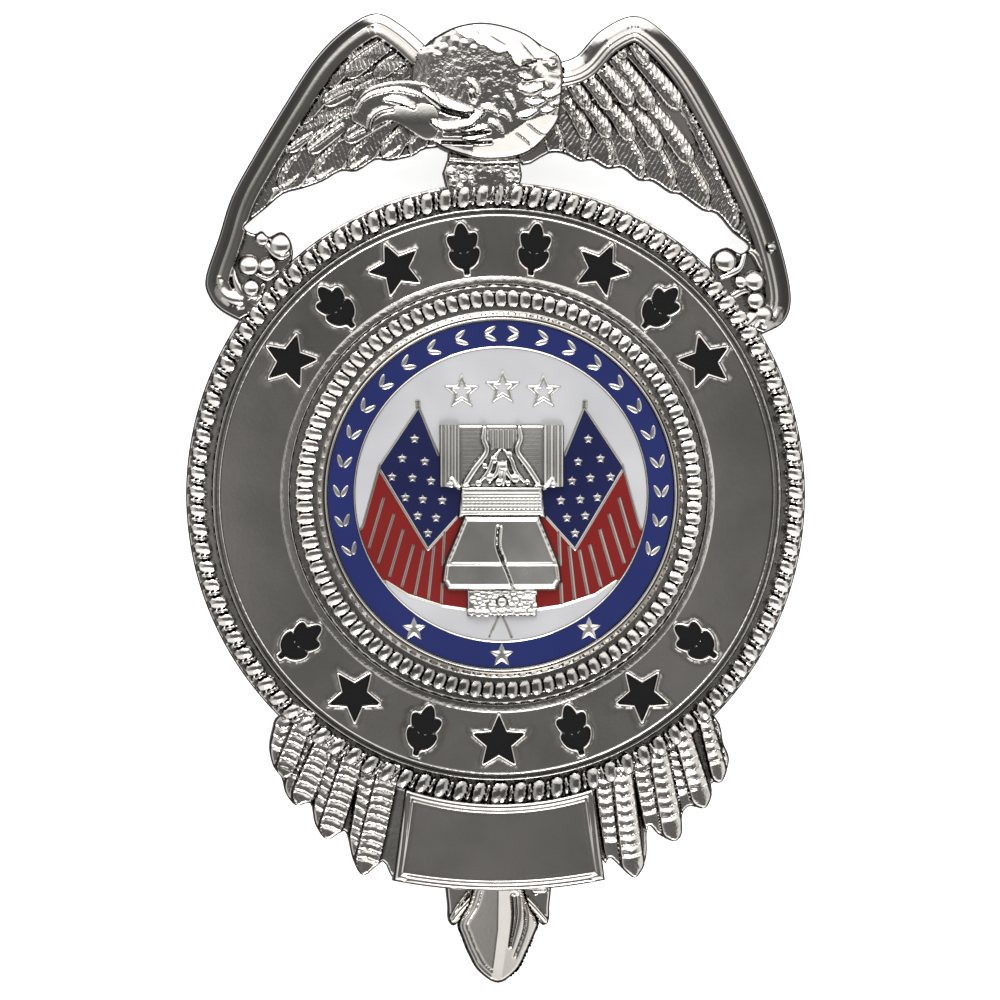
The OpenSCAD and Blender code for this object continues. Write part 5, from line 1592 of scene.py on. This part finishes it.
def pin():
    length = (pin_high.y - pin_low.y) / MM
    y0, y1 = -length / 2, length / 2
    low, high = STEM_Z - SLOT_W / 2, STEM_Z + SLOT_W / 2
    block("pin_bar", (-BAR_W / 2, y0, PIN_DEPTH - BAR_T), (BAR_W / 2, y1, PIN_DEPTH), 0.15)
    block("pin_hinge", (-BAR_W / 2, y1 - HINGE_LONG, 0), (BAR_W / 2, y1, PIN_DEPTH), 0.3)
    left, right, end = -CATCH_W / 2, CATCH_W / 2, y0 + CATCH_LONG
    block("pin_catch_foot", (left, y0, 0), (right, end, low), 0.15)
    block("pin_catch_side", (left, y0, 0), (STEM_D / 2, end, PIN_DEPTH), 0.15)
    block("pin_catch_head", (left, y0, high), (right, end, PIN_DEPTH), 0.15)
    sections = [(y1 - 1, STEM_D / 2), (y0 + 3.2, STEM_D / 2), (y0 + 0.9, STEM_D / 5), (y0 + 0.4, 0.04)]
    n = STEM_SIDES
    a = 2 * np.pi * np.arange(n) / n
    points = np.vstack([np.stack([r * np.cos(a), np.full(n, y), STEM_Z + r * np.sin(a)], axis=1)
                        for y, r in sections]) * MM
    faces = [(row * n + k, (row + 1) * n + k, (row + 1) * n + (k + 1) % n, row * n + (k + 1) % n)
             for row in range(len(sections) - 1) for k in range(n)]
    faces += [tuple(range(n)), tuple(reversed(range(3 * n, 4 * n)))]
    mesh_object("pin_stem", points, faces, PIN, 40)


# Stage
def floor():
    """White floor that lights itself a little and isn't mirrored in the metal."""
    mesh = bpy.data.meshes.new("floor")
    s = 1.5
    mesh.from_pydata([(-s, -s, 0), (s, -s, 0), (s, s, 0), (-s, s, 0)], [], [(0, 1, 2, 3)])
    piece = bpy.data.objects.new("floor", mesh)
    bpy.context.scene.collection.objects.link(piece)
    material, _, shader = new_material("floor_white")
    for socket, value in (("Base Color", (0.9, 0.9, 0.9, 1)), ("Roughness", 0.9),
                          ("Emission Color", (1, 1, 1, 1)), ("Emission Strength", 0.75)):
        shader.inputs[socket].default_value = value
    mesh.materials.append(material)
    piece.visible_glossy = False


def area_light(name, place, size, power):
    """Square light that faces the middle of the badge."""
    lamp = bpy.data.lights.new(name, "AREA")
    lamp.shape = "RECTANGLE"
    lamp.size = size
    lamp.size_y = size
    lamp.energy = power
    piece = bpy.data.objects.new(name, lamp)
    bpy.context.scene.collection.objects.link(piece)
    piece.location = place
    piece.rotation_mode = "QUATERNION"
    piece.rotation_quaternion = (-Vector(place)).to_track_quat("-Z", "Y")


# Bright lobes of the studio round a dark ceiling. Rows: axis, its sign, where the lobe begins and
# where it is full as a share of that axis, brightness
LOBES = [("Y", 1, 0.2, 0.48, 1.6), ("Y", -1, 0.24, 0.52, 1.3), ("X", 1, 0.5, 0.8, 0.8),
         ("X", -1, 0.45, 0.8, 0.5)]
CEILING, BELOW = 0.16, 0.2
# Shares of the ceiling's brightness in its dark and bright places
CLOUD = (0.72, 1.3)
# Height in the sky at which the lobes are at their full brightness
HORIZON_Z = 0.3


def studio():
    """World with a dark ceiling and bright lobes on all four sides, and two soft lights."""
    world = bpy.data.worlds.new("studio")
    bpy.context.scene.world = world
    world.use_nodes = True
    tree = world.node_tree
    place = add(tree, "ShaderNodeTexCoord").outputs["Generated"]
    way = split(tree, place)
    total = 0
    for axis, sign, low, high, bright in LOBES:
        toward = combined(tree, "MULTIPLY", way[axis], sign)
        total = combined(tree, "MAXIMUM", blended(tree, toward, low, high, 0, bright), total)
    lobes = combined(tree, "MULTIPLY", total, blended(tree, way["Z"], 0, HORIZON_Z, 0, 1))
    cloud = noise_on(tree, place, Scale=4.0, Detail=1.5)
    base = combined(tree, "MULTIPLY", blended(tree, way["Z"], -0.05, 0.05, BELOW, CEILING),
                    blended(tree, cloud, 0.3, 0.7, *CLOUD))
    tree.links.new(combined(tree, "ADD", lobes, base), tree.nodes["Background"].inputs["Color"])
    area_light("soft_front", (0.1, -0.5, 0.45), 0.35, 2.5)
    area_light("soft_back", (-0.1, 0.5, 0.4), 0.3, 2.0)


# Width that the picture shows, in millimetres, lean of the camera to the left, in degrees, and the lens
SHOWN_W, CAMERA_LEAN, LENS, SENSOR_W = 97.66, -3.5, 200, 36


def camera():
    """Long lens straight above the badge, a few degrees towards its left."""
    cam = bpy.data.cameras.new("camera")
    cam.lens = LENS
    cam.sensor_width = SENSOR_W
    cam.clip_start = 0.01
    cam.clip_end = 10
    piece = bpy.data.objects.new("camera", cam)
    bpy.context.scene.collection.objects.link(piece)
    aim = Vector((0.1, -0.15, PIN_DEPTH + PLATE_H)) * MM
    distance = SHOWN_W * MM * LENS / SENSOR_W
    lean = math.radians(CAMERA_LEAN)
    piece.location = aim + Vector((math.sin(lean), 0, math.cos(lean))) * distance
    piece.rotation_euler = (0, lean, 0)
    bpy.context.scene.camera = piece


rope_border()
bead_ring()
seal_seat()
band()
mark_enamels()
eagle()
sprays()
number_panel()
leaf_tip()
seal_rims()
seal_fields()
seal_lines()
seal_stars()
wreath()
bell()
pin()
floor()
studio()
camera()
bpy.context.scene.view_settings.view_transform = "Standard"
